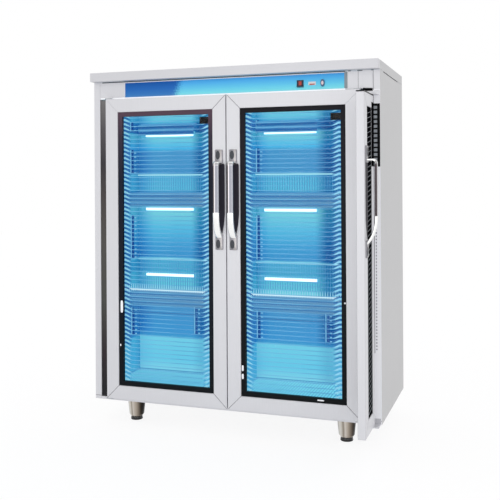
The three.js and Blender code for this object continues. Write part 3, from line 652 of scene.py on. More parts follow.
# widths of the left, right, top and bottom member of each door, and which mitre hardly shows
doorFrame = {
    "members": {"left": (55, 55, 55, 55), "right": (55, 55, 55, 55), "side": (55, 38, 46, 55)},
    "joint": 0.7, "arris": 0.9, "lineHalf": 0.5, "lineStart": 2, "lineDepth": -6,
    "paleMitres": {"left": ((0, 1), "doorSheet"), "right": ((1, 1), "whiteTrim")},
}


def mainDoorPanel(label):
    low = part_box(label + "_door_frame")[0]
    return Panel(label, Vector((1, 0, 0)), Vector((0, -1, 0)), low)


def sideLeafPanel():
    low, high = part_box("side_door_frame")
    return Panel("side", Vector((0, 1, 0)), Vector((1, 0, 0)), Vector((high.x, low.y, low.z)))


panels = {"left": mainDoorPanel("left"), "right": mainDoorPanel("right"), "side": sideLeafPanel()}


def addMitredFrame(panel):
    # four sheet-steel members, each cut at 45 degrees where it meets the next
    left, right, top, bottom = panel.members
    w, h = panel.width, panel.height
    gap = doorFrame["joint"] / 2
    outlines = (
        ((0, gap), (left, bottom + gap), (left, h - top - gap), (0, h - gap)),
        ((w, gap), (w, h - gap), (w - right, h - top - gap), (w - right, bottom + gap)),
        ((gap, 0), (w - gap, 0), (w - right - gap, bottom), (left + gap, bottom)),
        ((gap, h), (left + gap, h - top), (w - right - gap, h - top), (w - gap, h)),
    )
    bm = bmesh.new()
    for outline in outlines:
        addLoft(bm, [[panel.at(u, v, n) for u, v in outline] for n in (0, -panel.depth)])
    bmesh.ops.bevel(bm, geom=bm.edges[:], offset=doorFrame["arris"] * mm, segments=2, affect="EDGES")
    panel.piece("mitred_frame", bm, "doorSheet", "pale_steel", ("frame",))


def addMitreLines(panel):
    # a line along each mitre: a grey shadow, or a pale one that lies almost flush, in the door's own finish
    # or white as a painted highlight
    left, right, top, bottom = panel.members
    w, h = panel.width, panel.height
    half, start = doorFrame["lineHalf"], doorFrame["lineStart"]
    paleCorner, paleLook = doorFrame["paleMitres"].get(panel.label, (None, None))
    shadows, gleam = bmesh.new(), bmesh.new()
    for corner in ((0, 0), (1, 0), (0, 1), (1, 1)):
        span, rise = right if corner[0] else left, top if corner[1] else bottom
        near = (w - start if corner[0] else start, h - start if corner[1] else start)
        far = (w - span if corner[0] else span, h - rise if corner[1] else rise)
        away = half if corner[0] == corner[1] else -half
        bm, face = (gleam, -0.1) if corner == paleCorner else (shadows, -0.7)
        addLoft(bm, [
            [panel.at(near[0] - away, near[1] + half, n), panel.at(near[0] + away, near[1] - half, n),
             panel.at(far[0] + away, far[1] - half, n), panel.at(far[0] - away, far[1] + half, n)]
            for n in (face, doorFrame["lineDepth"])
        ])
    panel.piece("mitre_shadows", shadows, "seamShadow", "pale_steel")
    if paleCorner:
        panel.piece("mitre_gleam", gleam, paleLook, "pale_steel")
    else:
        gleam.free()


gasket = {"width": 14, "inset": 5, "lip": 1.6}


def addGasket(panel):
    # hollow magnetic strip behind the frame's edge, with a rounded lip
    w, h = panel.width, panel.height
    wide, lip = gasket["width"], -gasket["lip"]
    profile = ((0, 0), (0, -1.0), (2.5, lip), (wide - 4, lip), (wide, -1.0), (wide, 0))
    rings = []
    for cornerU, cornerV in ((0, 0), (1, 0), (1, 1), (0, 1)):
        ring = []
        for inward, n in profile:
            u = gasket["inset"] + inward
            ring.append(panel.at(w - u if cornerU else u, h - u if cornerV else u, n - panel.depth - 0.05))
        rings.append(ring)
    bm = bmesh.new()
    addLoft(bm, rings, closed=True)
    panel.piece("gasket", bm, "rubber", "black_rubber", angle=50)


# chrome bow handle: heights are measured from its middle, and screws from its two ends
bowHandle = {
    "half": 196.5, "width": 26, "thickness": 9, "standoff": 39.8, "armTop": 151, "corner": 12,
    "bowStart": -50, "bowPull": -62, "bowEnd": -146, "bowSteps": 14, "squareness": (0.45, 0.75),
    "plateWidth": 31, "plateHeight": 60, "plateDepth": 4.8, "plateCorner": 3,
    "screwWidth": 18, "screwHeight": 34, "screwShift": -3.5, "screwLow": 23, "screwHigh": 22,
    "backLeft": -15, "backRight": 23.5, "backBottom": -131,
}


def bowPath():
    # (outward, up, painted highlight) from the top shoulder down, with a long sweep back to the door at the
    # bottom
    values = bowHandle
    thick, corner = values["thickness"] / 2, values["corner"]
    out, top = values["standoff"] - thick, values["armTop"] - thick
    path = [(2, top, 1.0)]
    path += [
        (out - corner + corner * math.sin(a), top - corner * (1 - math.cos(a)), 1.0 if a < 0.9 else 0.3)
        for a in (math.radians(15 * k) for k in range(7))
    ]
    path += [(out, top - corner - 3, 0.0), (out, values["bowStart"] + 0.4, 0.0)]
    start, pull = (out, values["bowStart"]), (out, values["bowStart"] + values["bowPull"])
    end = (3, values["bowEnd"])
    for k in range(values["bowSteps"] + 1):
        t = k / values["bowSteps"]
        n, v = ((1 - t) ** 2 * a + 2 * t * (1 - t) * b + t * t * c for a, b, c in zip(start, pull, end))
        path.append((n, v, 1.0))
    return path


def addBow(panel, u0, middle):
    half = bowHandle["width"] / 2
    section = oval(bowHandle["width"], bowHandle["thickness"], 20, bowHandle["squareness"])
    path = bowPath()
    rings, marks = [], []
    for i, (n, v, tone) in enumerate(path):
        before, after = path[max(i - 1, 0)], path[min(i + 1, len(path) - 1)]
        along = Vector((after[0] - before[0], after[1] - before[1])).normalized()
        rings.append([panel.at(u0 + a, middle + v - b * along.x, n + b * along.y) for a, b in section])
        marks.append([((a + half) / (2 * half), tone) for a, b in section])
    bm = bmesh.new()
    addLoft(bm, rings, marks)
    panel.piece("bow_handle", bm, "gripChrome", "handle_chrome", ("handle",))


def addHandlePlates(panel, u0, middle):
    # a rounded plate under each end of the bow, its face edge eased
    wide, tall = bowHandle["plateWidth"] / 2, bowHandle["plateHeight"]
    depth, corner, half = bowHandle["plateDepth"], bowHandle["plateCorner"], bowHandle["half"]
    outline = []
    for cu, cv, start in ((1, 1, 0), (-1, 1, 90), (-1, -1, 180), (1, -1, 270)):
        for step in range(5):
            a = math.radians(start + 22.5 * step)
            outline.append((cu * (wide - corner) + corner * math.cos(a),
                            (tall if cv > 0 else 0) - cv * corner + corner * math.sin(a)))
    bm = bmesh.new()
    for base in (-half + 0.2, half - tall - 0.2):
        rings, marks = [], []
        for n, shrink in ((0.05, 0), (depth - 1.2, 0), (depth - 0.3, 0.5), (depth, 1.4)):
            ring = [(a - math.copysign(shrink, a), b - math.copysign(shrink, b - tall / 2))
                    for a, b in outline]
            rings.append([panel.at(u0 + a, middle + base + b, n) for a, b in ring])
            marks.append([((a + wide) / (2 * wide), 0.0) for a, b in ring])
        addLoft(bm, rings, marks)
    panel.piece("handle_plates", bm, "plateChrome", "handle_chrome")


def addScrewCaps(panel, u0, middle):
    values = bowHandle
    bm = bmesh.new()
    for centre in (-values["half"] + values["screwLow"], values["half"] - values["screwHigh"]):
        addLoft(bm, [
            [panel.at(u0 + values["screwShift"] + a * scale, middle + centre + b * scale,
                      values["plateDepth"] + n)
             for a, b in oval(values["screwWidth"], values["screwHeight"], 32)]
            for n, scale in ((-0.4, 1.0), (0.5, 1.0), (1.3, 0.84), (1.7, 0.5))
        ])
    panel.piece("handle_screw_caps", bm, "screwGlass", "handle_chrome")


def addHandleShadow(panel, u0, middle):
    # painted shadow of the bow: a dark strip on the door behind it, tapering to its foot
    top = bowHandle["armTop"] - bowHandle["thickness"] - 1
    left, right, bottom = (bowHandle[key] for key in ("backLeft", "backRight", "backBottom"))
    outline = ((left, top), (left, -60), (right - 14, bottom), (right - 11, bottom), (right - 4, -98),
               (right, -56), (right, top - 6), (right - 4, top))
    bm = bmesh.new()
    addLoft(bm, [[panel.at(u0 + a, middle + b, n) for a, b in outline] for n in (0.05, 0.7)])
    panel.piece("handle_painted_shadow", bm, "handleShadow", "handle_chrome")


def addHandle(panel):
    low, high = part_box(panel.body + "_handle")
    across = abs(((low + high) / 2 - panel.origin).dot(panel.across)) / mm
    middle = (low.z + high.z) / 2 / mm - panel.foot
    for make in (addBow, addHandlePlates, addScrewCaps, addHandleShadow):
        make(panel, across, middle)


wireGuard = {
    "pitch": 17.5, "radius": 1.4, "endRadius": 4.4, "rodRadius": 2.2, "setBack": 30.5, "bend": 27, "rise": 11,
    "inset": 9, "starts": (9, 24), "gap": 3.6, "gapSetBack": 2.5, "flatten": 0.75, "pale": 310,
    "dimFrom": {"left": 0.5, "right": 0.55},
}


def addWireGuard(panel):
    # level wires over the whole window, flattened and turned up at both ends to their side rods
    left, right, top, bottom = panel.members
    near, far = left + wireGuard["inset"], panel.width - right - wireGuard["inset"]
    n = -wireGuard["setBack"]
    rise, bend, thin, wide, gap, starts = (
        wireGuard[key] for key in ("rise", "bend", "radius", "endRadius", "gap", "starts"))
    ups = (1.0, 0.95, 0.55, 0.2, 0.0)
    sizes = (wide, wide * 0.95, wide * 0.75, wide * 0.5, thin)
    tones = (1.0, 1.0, 0.85, 0.6, 0.1)
    runs = [(0, s, s + bend * 0.35, s + bend * 0.7, s + bend) for s in starts]
    # from here across, the wires' middles are darker: painted shade
    dim = near + (far - near) * wireGuard["dimFrom"][panel.label]
    bm, shadows = bmesh.new(), bmesh.new()
    lowest, highest = bottom + wireGuard["inset"] + 4, panel.height - top - wireGuard["inset"] - rise
    for level in steps(lowest, highest, wireGuard["pitch"]):
        path = [(near + r, level + rise * a) for r, a in zip(runs[0], ups)]
        path += [(dim, level), (dim + 40, level)]
        path += [(far - r, level + rise * a) for r, a in reversed(list(zip(runs[1], ups)))]
        radii = [*sizes, thin, thin, *reversed(sizes)]
        marks = [*tones, 0.1, 0.0, 0.0, *reversed(tones[:-1])]
        addRod(bm, [panel.at(u, v, n) for u, v in path], [r * mm for r in radii], 6, marks)
        # dark strips behind the wire ends are their painted shadows, paler below a given height
        tone = 1.0 if panel.foot + level < wireGuard["pale"] else 0.0
        between = level + wireGuard["pitch"] / 2
        for start, away, hidden in ((near, 1, starts[0]), (far, -1, starts[1])):
            length = hidden + bend * 0.9
            ends = [(start, between + rise), (start + away * length * 0.5, between + rise * 0.6),
                    (start + away * length, between)]
            addRod(shadows, [panel.at(u, v, n - wireGuard["gapSetBack"]) for u, v in ends],
                   [gap * mm, gap * mm, 1.2 * mm], 6, tone)
    for mesh, level in ((bm, n), (shadows, n - wireGuard["gapSetBack"])):
        # the wires are pressed flat, so that they clear the frame behind
        for vertex in mesh.verts:
            depth = (vertex.co - panel.at(0, 0, level)).dot(panel.outward)
            vertex.co -= panel.outward * depth * wireGuard["flatten"]
    for u in (near, far):
        addRod(bm, [panel.at(u, v, n) for v in (bottom + 6, panel.height - top - 6)],
               wireGuard["rodRadius"] * mm, 8)
    panel.piece("wire_guard", bm, "guardWire", "shelf_chrome")
    panel.piece("guard_shadows", shadows, "guardShadow", "shelf_chrome")


# white clips that hold each printed border, and painted glints on it, all with a slight painted glow, as
# (across, up from the floor, width, height)
clips = {
    "left": ((68, 488, 11, 50), (62, 330, 5, 9)),
    "right": ((61, 273, 8, 22), (61, 241, 8, 20), (467, 544, 6, 6), (372, 174, 26, 5)),
}


def addClips(panel):
    bm = bmesh.new()
    for u, z, width, height in clips[panel.label]:
        outline = oval(width, height, 24, (0.5, 0.5))
        addLoft(bm, [[panel.at(u + a * scale, z - panel.foot + b * scale, n) for a, b in outline]
                     for n, scale in ((-4.2, 1.0), (-3.5, 1.0), (-3.1, 0.8))])
    panel.piece("border_clips_and_glints", bm, "whiteClipAndGlint", "black_rubber")


leafBars = {"pitch": 17.5, "width": 0.9, "rise": 12, "setBack": 2.2}


def addLeafBars(panel):
    # black slotted cover in the narrow door's window, with slanting wires across it
    left, right, top, bottom = panel.members
    near, far, back = left + 1, panel.width - right - 1, -leafBars["setBack"]
    bm = bmesh.new()
    panel.block(bm, (near, bottom + 1, back - 1), (far, panel.height - top - 1, back), 0.2)
    panel.piece("slotted_cover", bm, "mattBlack", "black_plastic")
    bm = bmesh.new()
    for level in steps(bottom + 14, panel.height - top - 20, leafBars["pitch"]):
        ends = ((near + 3, level), (far - 2, level + leafBars["rise"]))
        addRod(bm, [panel.at(u, v, back + 0.6) for u, v in ends], leafBars["width"] * mm, 6)
    panel.piece("slanted_wires", bm, "zincWire", "shelf_chrome")


leafCover = {"low": 1053, "high": 1287, "overlap": 2, "margin": 1}


def addLeafCover(panel):
    # black strip over the narrow door's hinge member, level with the slotted strip on the stile
    near, far = panel.width - panel.members[1] - leafCover["overlap"], panel.width - leafCover["margin"]
    low, high = leafCover["low"] - panel.foot, leafCover["high"] - panel.foot
    bm = bmesh.new()
    panel.block(bm, (near, low, 0.05), (far, high, 0.6), 0.2)
    panel.piece("hinge_cover", bm, "mattBlack", "black_plastic")


for panel in panels.values():
    for make in (addMitredFrame, addMitreLines, addGasket, addHandle):
        make(panel)
for label in bays:
    addWireGuard(panels[label])
    addClips(panels[label])
addLeafBars(panels["side"])
addLeafCover(panels["side"])
print("doors made")

# Stand: spun legs and rubber pads, as radii and heights from each one's foot
stand = {
    "bore": 20, "rimRadius": 24.6, "bottomRadius": 30.7, "topRadius": 37.8, "rimHeight": 9,
    "padDepth": 14, "studRadius": 5.8,
}


def addLeg(label):
    node = label + "_leg"
    low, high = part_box(node)
    height = (high.z - low.z) / mm
    foot = Vector(((low.x + high.x) / 2, (low.y + high.y) / 2, low.z))
    bore, rim, bottom, top, lift = (
        stand[key] for key in ("bore", "rimRadius", "bottomRadius", "topRadius", "rimHeight"))
    bm = bmesh.new()
    addLathe(bm, (
        (bore, 0.1), (rim - 1.5, 0.1), (rim, 0.9), (rim + 1.6, 3.4), (bottom - 1.6, lift - 2.2),
        (bottom, lift + 0.6), ((bottom + top) / 2, height * 0.55), (top - 0.6, height - 4),
        (top, height - 1.2), (top - 0.8, height - 0.1), (bore, height - 0.1),
    ), foot)
    addPiece(label + "_spun_leg", bm, "legSteelReflection", replaced=(node,))


def addPad(label):
    node = label + "_foot_pad"
    low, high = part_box(node)
    radius, studTop = (high.x - low.x) / 2 / mm, (high.z - low.z) / mm
    depth, stud = stand["padDepth"], stand["studRadius"]
    centre = Vector(((low.x + high.x) / 2, (low.y + high.y) / 2, 0))
    bm = bmesh.new()
    addLathe(bm, (
        (radius - 4, 0.05), (radius - 1.2, 0.05), (radius - 0.2, 1.2), (radius - 0.2, 4),
        (radius - 1.2, 4.8), (radius - 0.6, 5.6), (radius - 1.0, depth - 4), (radius - 2.6, depth - 0.2),
        (8, depth - 0.1),
    ), centre)
    addLathe(bm, ((stud, depth - 1), (stud, studTop - 0.6), (stud - 1, studTop - 0.1)), centre, count=20)
    addPiece(label + "_polished_pad", bm, "padRubber", label + "_foot", (node,))


for label in ("front_left", "front_right", "rear_left", "rear_right"):
    addLeg(label)
    addPad(label)
print("stand made")

# Wire shelves and racks in the chamber, in millimetres; band, rails and divider are heights from the shelf
rack = {
    "wire": 1.5, "rim": 2.4, "inset": 2.6, "pitch": 12.5, "crossWire": 1.95, "crossDrop": 3.2,
    "band": {"upper": (0, 0), "lower": (34, 38)}, "bandLight": 3.6, "bandDark": 4.4, "bandBack": 2,
    "bandPitch": 8.0, "bandUpright": 0.5, "bandUprightOut": 3,
    "rails": {"upper": 80, "lower": 146}, "railPitch": 11, "railIn": 6, "railWire": 1.8, "railTop": 2.8,
    "divider": (42, 68), "dividerPitch": 10, "dividerIn": 4, "dividerBar": 2.6,
    "floorInset": 3, "floorDrop": 1.8, "floorRim": 1.75, "floorLeg": 1.9,
}


def addBar(bm, low, high, y, z, radius, mark=0.0, count=8):
    # a level bar from side to side
    addRod(bm, ((low.x, y, z), (high.x, y, z)), radius * mm, count, mark)


def addShelf(label, name):
    node = f"{label}_{name}_shelf"
    low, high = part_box(node)
    inset = Vector((1, 1, 1)) * rack["inset"] * mm
    low, high = low + inset, high - inset
    heights = (low.z, (low.z + high.z) / 2, high.z)
    bm = bmesh.new()
    for x in (low.x, high.x):
        for z in heights:
            addRod(bm, ((x, low.y, z), (x, high.y, z)), rack["wire"] * mm)
    for x in spaced(low.x, high.x, rack["pitch"]):
        addRod(bm, ((x, low.y, high.z), (x, high.y, high.z)), rack["wire"] * mm, 5)
    z = high.z - rack["crossDrop"] * mm
    for share in (0.25, 0.5, 0.75):
        y = low.y + (high.y - low.y) * share
        addBar(bm, low, high, y, z, rack["crossWire"], count=6)
    for z in heights:
        addBar(bm, low, high, high.y, z, rack["rim"])
    addPiece(f"{label}_{name}_wire_shelf", bm, "shelfWire", replaced=(node,))
    addShelfBand(label, name, low, high)
    addShelfRail(label, name, low, high)


def addShelfBand(label, name, low, high):
    # the front band: four bars, painted shadows in the gaps between them, and fine uprights in front
    rise, lift = rack["band"][name]
    first, last = low.z + rise * mm, high.z + lift * mm
    light, dark = bmesh.new(), bmesh.new()
    for row in range(4):
        z = first + (last - first) * row / 3
        addBar(light, low, high, low.y, z, rack["bandLight"], (0.1, 1.0))
        if row:
            gap = z - (last - first) / 6
            addBar(dark, low, high, low.y + rack["bandBack"] * mm, gap, rack["bandDark"], (0.1, 1.0))
    if rise:
        addBar(dark, low, high, low.y, low.z, rack["rim"], 0.3)
    y = low.y - rack["bandUprightOut"] * mm
    for x in spaced(low.x, high.x, rack["bandPitch"]):
        # the uprights' colour changes from side to side: painted light
        tone = 0.1 + 0.8 * (x - low.x) / (high.x - low.x)
        addRod(light, ((x, y, low.z), (x, y, last)), rack["bandUpright"] * mm, 5, tone)
    addPiece(f"{label}_{name}_band_bars", light, "bandLight")
    addPiece(f"{label}_{name}_band_shadows", dark, "bandDark")


def addShelfRail(label, name, low, high):
    # upright wires at the shelf's back, under one bar with a painted highlight
    bm = bmesh.new()
    y, top = high.y - rack["railIn"] * mm, high.z + rack["rails"][name] * mm
    for x in spaced(low.x, high.x, rack["railPitch"]):
        addRod(bm, ((x, y, high.z), (x, y, top)), rack["railWire"] * mm, 5)
    addBar(bm, low, high, y, top, rack["railTop"], 1.0)
    addPiece(f"{label}_{name}_back_rail", bm, "railWire")


def addDividers(label):
    # short upright wires along the lower shelf's front edge, behind one level bar
    low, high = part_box(f"{label}_lower_shelf")
    foot, top = rack["divider"]
    inward = rack["dividerIn"] * mm
    y, z = low.y + inward, high.z + (foot + 3) * mm
    bm = bmesh.new()
    for x in spaced(low.x, high.x, rack["dividerPitch"]):
        addRod(bm, [(x, y, high.z + rise * mm) for rise in (-2, foot, top)],
               [1.5 * mm, 1.5 * mm, 1.1 * mm], 5, (0.5, 1.0, 0.0))
    addRod(bm, ((low.x + inward, y - 3 * mm, z), (high.x - inward, y - 3 * mm, z)),
           rack["dividerBar"] * mm, 8, 1.0)
    addPiece(f"{label}_plate_dividers", bm, "dividerWire")


def addFloorRack(label):
    node = f"{label}_floor_rack"
    low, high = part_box(node)
    z, inset = high.z - rack["floorDrop"] * mm, rack["floorInset"] * mm
    left, right, front, back = low.x + inset, high.x - inset, low.y + inset, high.y - inset
    corners = ((left, front), (right, front), (right, back), (left, back))
    bm = bmesh.new()
    for first, second in zip(corners, corners[1:] + corners[:1]):
        addRod(bm, ((*first, z), (*second, z)), rack["floorRim"] * mm, 8)
    for x in spaced(low.x, high.x, rack["pitch"]):
        addRod(bm, ((x, front, z), (x, back, z)), rack["wire"] * mm, 5)
    for x, y in corners:
        addRod(bm, ((x, y, low.z + 0.2 * mm), (x, y, z)), rack["floorLeg"] * mm, 8)
    addPiece(f"{label}_wire_floor_rack", bm, "railWire", replaced=(node,))


# slotted shelf standards: runs of slots by height, at each (across, back) place from the cabinet's middle;
# the second place of a bay has only the lowest run
standards = {
    "runs": ((320, 438), (660, 850), (1034, 1140), (1222, 1262)), "pitch": 17.5, "width": 11, "slot": 10.5,
    "tab": 8, "places": {"left": ((-546, 238), (-280, 327)), "right": ((15, 325), (319, 327))},
}


def addStandards(label):
    dark, light = bmesh.new(), bmesh.new()
    half, slot = standards["width"] / 2, standards["slot"]
    for place, (x, y) in enumerate(standards["places"][label]):
        for start, stop in standards["runs"][:1] if place else standards["runs"]:
            for z in steps(start, stop - slot, standards["pitch"]):
                tab = x + half + 3
                addSliver(dark, (x - half, y - 2.2, z), (x + half, y + 1.8, z + slot), 0.6)
                addSliver(light, (tab, y - 1, z + 1), (tab + standards["tab"], y + 1.8, z + 6), 0.6)
            addSliver(dark, (x - half + 1, y - 0.4, start), (x + half - 1, y + 2.2, stop), 0.3)
            addSliver(light, (x - half - 6, y + 0.6, start), (x - half - 2, y + 2.2, stop), 0.3)
    addPiece(f"{label}_slotted_standards", dark, "standardDark")
    addPiece(f"{label}_standard_tabs", light, "standardLight")


lamp = {"radius": 7.8, "cap": 8.6, "start": 25, "tip": 1.5, "out": 11, "socketHeight": 28, "farSocket": 20}


def addLamp(label, number):
    # lit tube between two sockets on the back wall
    name = f"{label}_lamp_{number}"
    low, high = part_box(name)
    centre = Vector((low.x, low.y + lamp["out"] * mm, (low.z + high.z) / 2))
    end = (high.x - low.x) / mm - lamp["tip"]
    start, radius, cap = lamp["start"], lamp["radius"], lamp["cap"]
    tube, sockets = bmesh.new(), bmesh.new()
    addLathe(tube, ((radius - 3, start), (radius, start + 2), (radius, end - 2), (radius - 3, end)),
             centre, Vector((1, 0, 0)), 24)
    addPiece(name + "_lit_tube", tube, "tube")
    addLathe(sockets, ((cap - 2, start - 8), (cap, start - 7), (cap, start + 1), (cap - 2, start + 1.4)),
             centre, Vector((1, 0, 0)), 24)
    half, back = lamp["socketHeight"] / 2 * mm, high.y - 0.3 * mm
    addBlock(sockets, (low.x + 0.3 * mm, centre.y + 1 * mm, centre.z - half),
             (low.x + (start - 6) * mm, back, centre.z + half), 1.5 * mm)
    addBlock(sockets, (high.x - lamp["farSocket"] * mm, centre.y + 9 * mm, centre.z - half),
             (high.x - 0.3 * mm, back, centre.z + half), 1.5 * mm)
    addPiece(name + "_sockets", sockets, "socket", replaced=(name,))


hood = {"front": 296, "back": 329, "low": 1206, "high": 1251, "over": 6}


def addLampHood(label):
    # folded sheet over the top lamp, which leaves only the lower edge of its tube in view
    low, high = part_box(f"{label}_lamp_3")
    front, back, bottom, top = (hood[key] for key in ("front", "back", "low", "high"))
    outline = ((back, top + 8), (front + 4, top + 2), (front, top - 2), (front, bottom),
               (front + 1.2, bottom), (front + 1.2, top - 2.5), (front + 4.6, top + 0.6), (back, top + 6.5))
    bm = bmesh.new()
    addLoft(bm, [[placed(x, y, z) for y, z in outline] for x in (
        (low.x - middleX) / mm - hood["over"], (high.x - middleX) / mm + hood["over"])])
    addPiece(f"{label}_lamp_hood", bm, "hood")


for label in bays:
    for name in ("upper", "lower"):
        addShelf(label, name)
    for make in (addDividers, addFloorRack, addStandards):
        make(label)
    for number in (1, 2, 3):
        addLamp(label, number)
    addLampHood(label)
print("chamber racks made")

# Trim on the front: seams, shadow lines, facings, and the slotted strip beside the narrow door. Each piece
# has its finish, its slot and its strips, each between two corners, with the rounding of its edges
footSeam = bodyBottom + 13.5
stripLow, stripHigh = leafCover["low"], leafCover["high"]
frontTrim = {
    "fascia_shadow_lines": ("deepSeam", "black_rubber", (
        ((-562, -0.6, 1410.4), (469, -0.02, 1413.2), 0.15),
        ((517.5, -0.25, 1345), (518.5, -0.02, 1413), 0.08),
        *(((start, -0.6, 1411), (stop, -0.02, 1413.2), 0.1)
          for start, stop in ((480, 490), (515, 534), (566, 575))),
    )),
    "stile_seams": ("seamShadow", "black_rubber", (
        *(((side * 573, -0.7, footSeam), (side * 599.6, -0.02, footSeam + 1.6), 0.1) for side in (-1, 1)),
        ((574.8, -0.7, stripHigh + 1), (576, -0.3, 1413), 0.1),
        ((574.5, -0.7, 360), (576.5, -0.3, stripLow - 1), 0.1),
        *(((581, -0.7, z), (584.5, -0.3, z + 5), 0.1) for z in steps(372, 822, 12)),
        ((582, -0.7, 826), (584.5, -0.3, stripLow - 1), 0.1),
    )),
    # the film's right end drawn grey as painted shade, its left end and a line along its top drawn white as
    # painted highlight
    "film_end_trim_right": ("greyTrim", "pale_steel", (((465.5, -1.8, 1347.9), (477, -0.02, 1409.9), 0.3),)),
    "film_painted_highlights": ("whiteTrim", "pale_steel", (
        ((-459.5, -1.0, 1347.9), (-454.8, -0.02, 1409.9), 0.3),
        ((-454, -1.7, 1406.6), (469, -1.3, 1409.7), 0.1),
    )),
    # painted light: a glowing pale strip over the fascia's shaded edge above the door heads
    "fascia_edge_gleam": ("edgeGleam", "pale_steel", (((-571, -0.5, 1343.2), (469, -0.02, 1347.2), 0.2),)),
    "side_shadow_line": ("deepSeam", "black_rubber", (
        ((halfWidth + 0.05, 70, 1410.6), (halfWidth + 0.5, 420, 1413.4), 0.15),
    )),
    # painted light: a glowing facing on the right stile, brightening it where the narrow door shades it
    "right_stile_painted_light": ("stileFacing", "pale_steel", (
        ((572.4, -0.35, bodyBottom + 0.3), (599.8, 0.3, 1341), 0.1),
    )),
    "stile_and_head_facing": ("doorSheet", "pale_steel", (
        ((-599.8, -0.35, bodyBottom + 0.3), (-572.4, 0.3, 1413.4), 0.1),
        ((572.4, -0.35, 1341), (599.8, 0.3, 1413.4), 0.1),
        ((531.5, -1.5, 1314), (572.2, 0.5, 1334), 0.2),
    )),
    # painted shade: a darker sheet over the worktop's side
    "worktop_side_painted_shade": ("sideSheet", "pale_steel", (
        ((halfWidth + 0.02, 1.5, 1414.6), (halfWidth + 0.35, 548, 1449.4), 0.1),
    )),
    "stile_strip_frame": ("blackAbs", "black_plastic", (
        ((589, -1.4, stripLow), (599, -0.02, stripHigh), 0.3),
        ((572.5, -1.4, stripLow), (575.2, -0.02, stripHigh), 0.3),
        ((572.5, -1.4, stripHigh - 6), (599, -0.02, stripHigh), 0.3),
        ((573, -0.8, stripLow), (596, -0.3, stripHigh), 0.1),
    )),
    "stile_strip_bars": ("louvreGrey", "black_plastic", tuple(
        ((575.6, -1.3, z), (588.6, -0.4, z + 11), 0.3) for z in steps(stripLow + 4, stripHigh - 16, 17.5)
    )),
}


def addTrimPiece(name, look, slot, strips):
    bm = bmesh.new()
    for corner, opposite, bevel in strips:
        addSliver(bm, corner, opposite, bevel)
    addPiece(name, bm, look)


def addHeadShadow():
    # painted shadow over the narrow door's head: a black strip, deeper at its left end
    bm = bmesh.new()
    outline = ((537, 1336), (572.2, 1337), (572.2, 1344.4), (537, 1346.4))
    addLoft(bm, [[placed(x, y, z) for x, z in outline] for y in (-5, -0.4)])
    addPiece("narrow_door_head_painted_shadow", bm, "mattBlack")


for name, values in frontTrim.items():
    addTrimPiece(name, *values)
addHeadShadow()

# Controls: lens in the rocker, red window in the indicator, pale cap in the oval button
controls = {
    "rockerTilt": -7, "rockerAxisDepth": 4, "lens": (12, 16), "lensFace": 5, "dish": 1.5, "dishReach": 13,
    "windowInset": 4, "windowHeights": (0.8, 5.4), "capShares": (0.62, 0.52), "capRise": 0.8,
}


def addRockerLens():
    # a dished lens with a groove down its middle, tilted with the rocker
    low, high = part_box("power_rocker")
    depth = controls["rockerAxisDepth"]
    axis = Vector(((low.x + high.x) / 2, frontY + depth * mm, (low.z + high.z) / 2))
    tilt = Matrix.Rotation(math.radians(controls["rockerTilt"]), 3, "X")
    wide, tall = controls["lens"]
    section = ((-wide / 2, 0.1), (-wide / 2 + 0.8, -0.5), (-1.2, -0.6), (0, -0.25), (1.2, -0.6),
               (wide / 2 - 0.8, -0.5), (wide / 2, 0.1))
    rings = []
    for k in range(9):
        t = tall * (k / 8 - 0.5)
        face = controls["dish"] * (1 - (t / controls["dishReach"]) ** 2) - controls["lensFace"]
        rings.append([axis + tilt @ Vector((across, face + lift - depth, t)) * mm
                      for across, lift in section])
    bm = bmesh.new()
    addLoft(bm, rings)
    addPiece("rocker_red_lens", bm, "redLens", "rocker")


def addIndicatorWindow():
    low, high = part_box("indicator_lens")
    inset = controls["windowInset"] * mm
    bottom, top = (low.z + height * mm for height in controls["windowHeights"])
    bm = bmesh.new()
    addBlock(bm, (low.x + inset, low.y - 0.5 * mm, bottom), (high.x - inset, low.y + 0.4 * mm, top),
             0.35 * mm)
    addPiece("indicator_red_window", bm, "redLens")


def addButtonCap():
    low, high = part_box("lamp_button")
    centre = (low + high) / 2
    wide, tall = controls["capShares"]
    rise = controls["capRise"] * mm
    outline = oval((high.x - low.x) * wide, (high.z - low.z) * tall, 32)
    bm = bmesh.new()
    addLoft(bm, [
        [Vector((centre.x + a * scale, low.y + depth, centre.z + b * scale)) for a, b in outline]
        for depth, scale in ((0.3 * mm, 1.0), (-rise * 0.6, 1.0), (-rise, 0.75))
    ])
    addPiece("button_pale_cap", bm, "pinkLens", "button")


addRockerLens()
addIndicatorWindow()
addButtonCap()
print("trim and controls made")

# Small pieces on the rear panel
backDetails = {
    "screwInset": 14, "screwColumns": 6, "screwRows": 5,
    "screw": ((4.4, -0.1), (4.4, 0.6), (3.2, 1.8), (1.4, 2.1), (1.3, 1.2)),
    "ventRows": 7, "ventColumns": 5, "ventRise": 14, "ventStep": 64, "ventLow": 1180, "ventWidth": 46,
    "ventHeight": 5, "ventEnd": 0.94,
    "vent": ((0.0, 0.0), (0.54, 0.0), (3.78, 0.75), (3.96, 1.0), (0.0, 1.0)),
}


def addRearScrews():
    # a row along the top and the bottom edge, and a column up each side
    low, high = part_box("rear_panel")
    inset, columns, rows = (backDetails[key] for key in ("screwInset", "screwColumns", "screwRows"))
    left, right = low.x + inset * mm, high.x - inset * mm
    spots = [(left + (right - left) * i / (columns - 1), z)
             for i in range(columns) for z in (low.z + inset * mm, high.z - inset * mm)]
    spots += [(x, low.z + (high.z - low.z) * k / (rows + 1))
              for x in (left, right) for k in range(1, rows + 1)]
    bm = bmesh.new()
    for x, z in spots:
        addLathe(bm, backDetails["screw"], Vector((x, high.y, z)), Vector((0, 1, 0)), 20)
    addPiece("rear_panel_screws", bm, "bracketSteel")


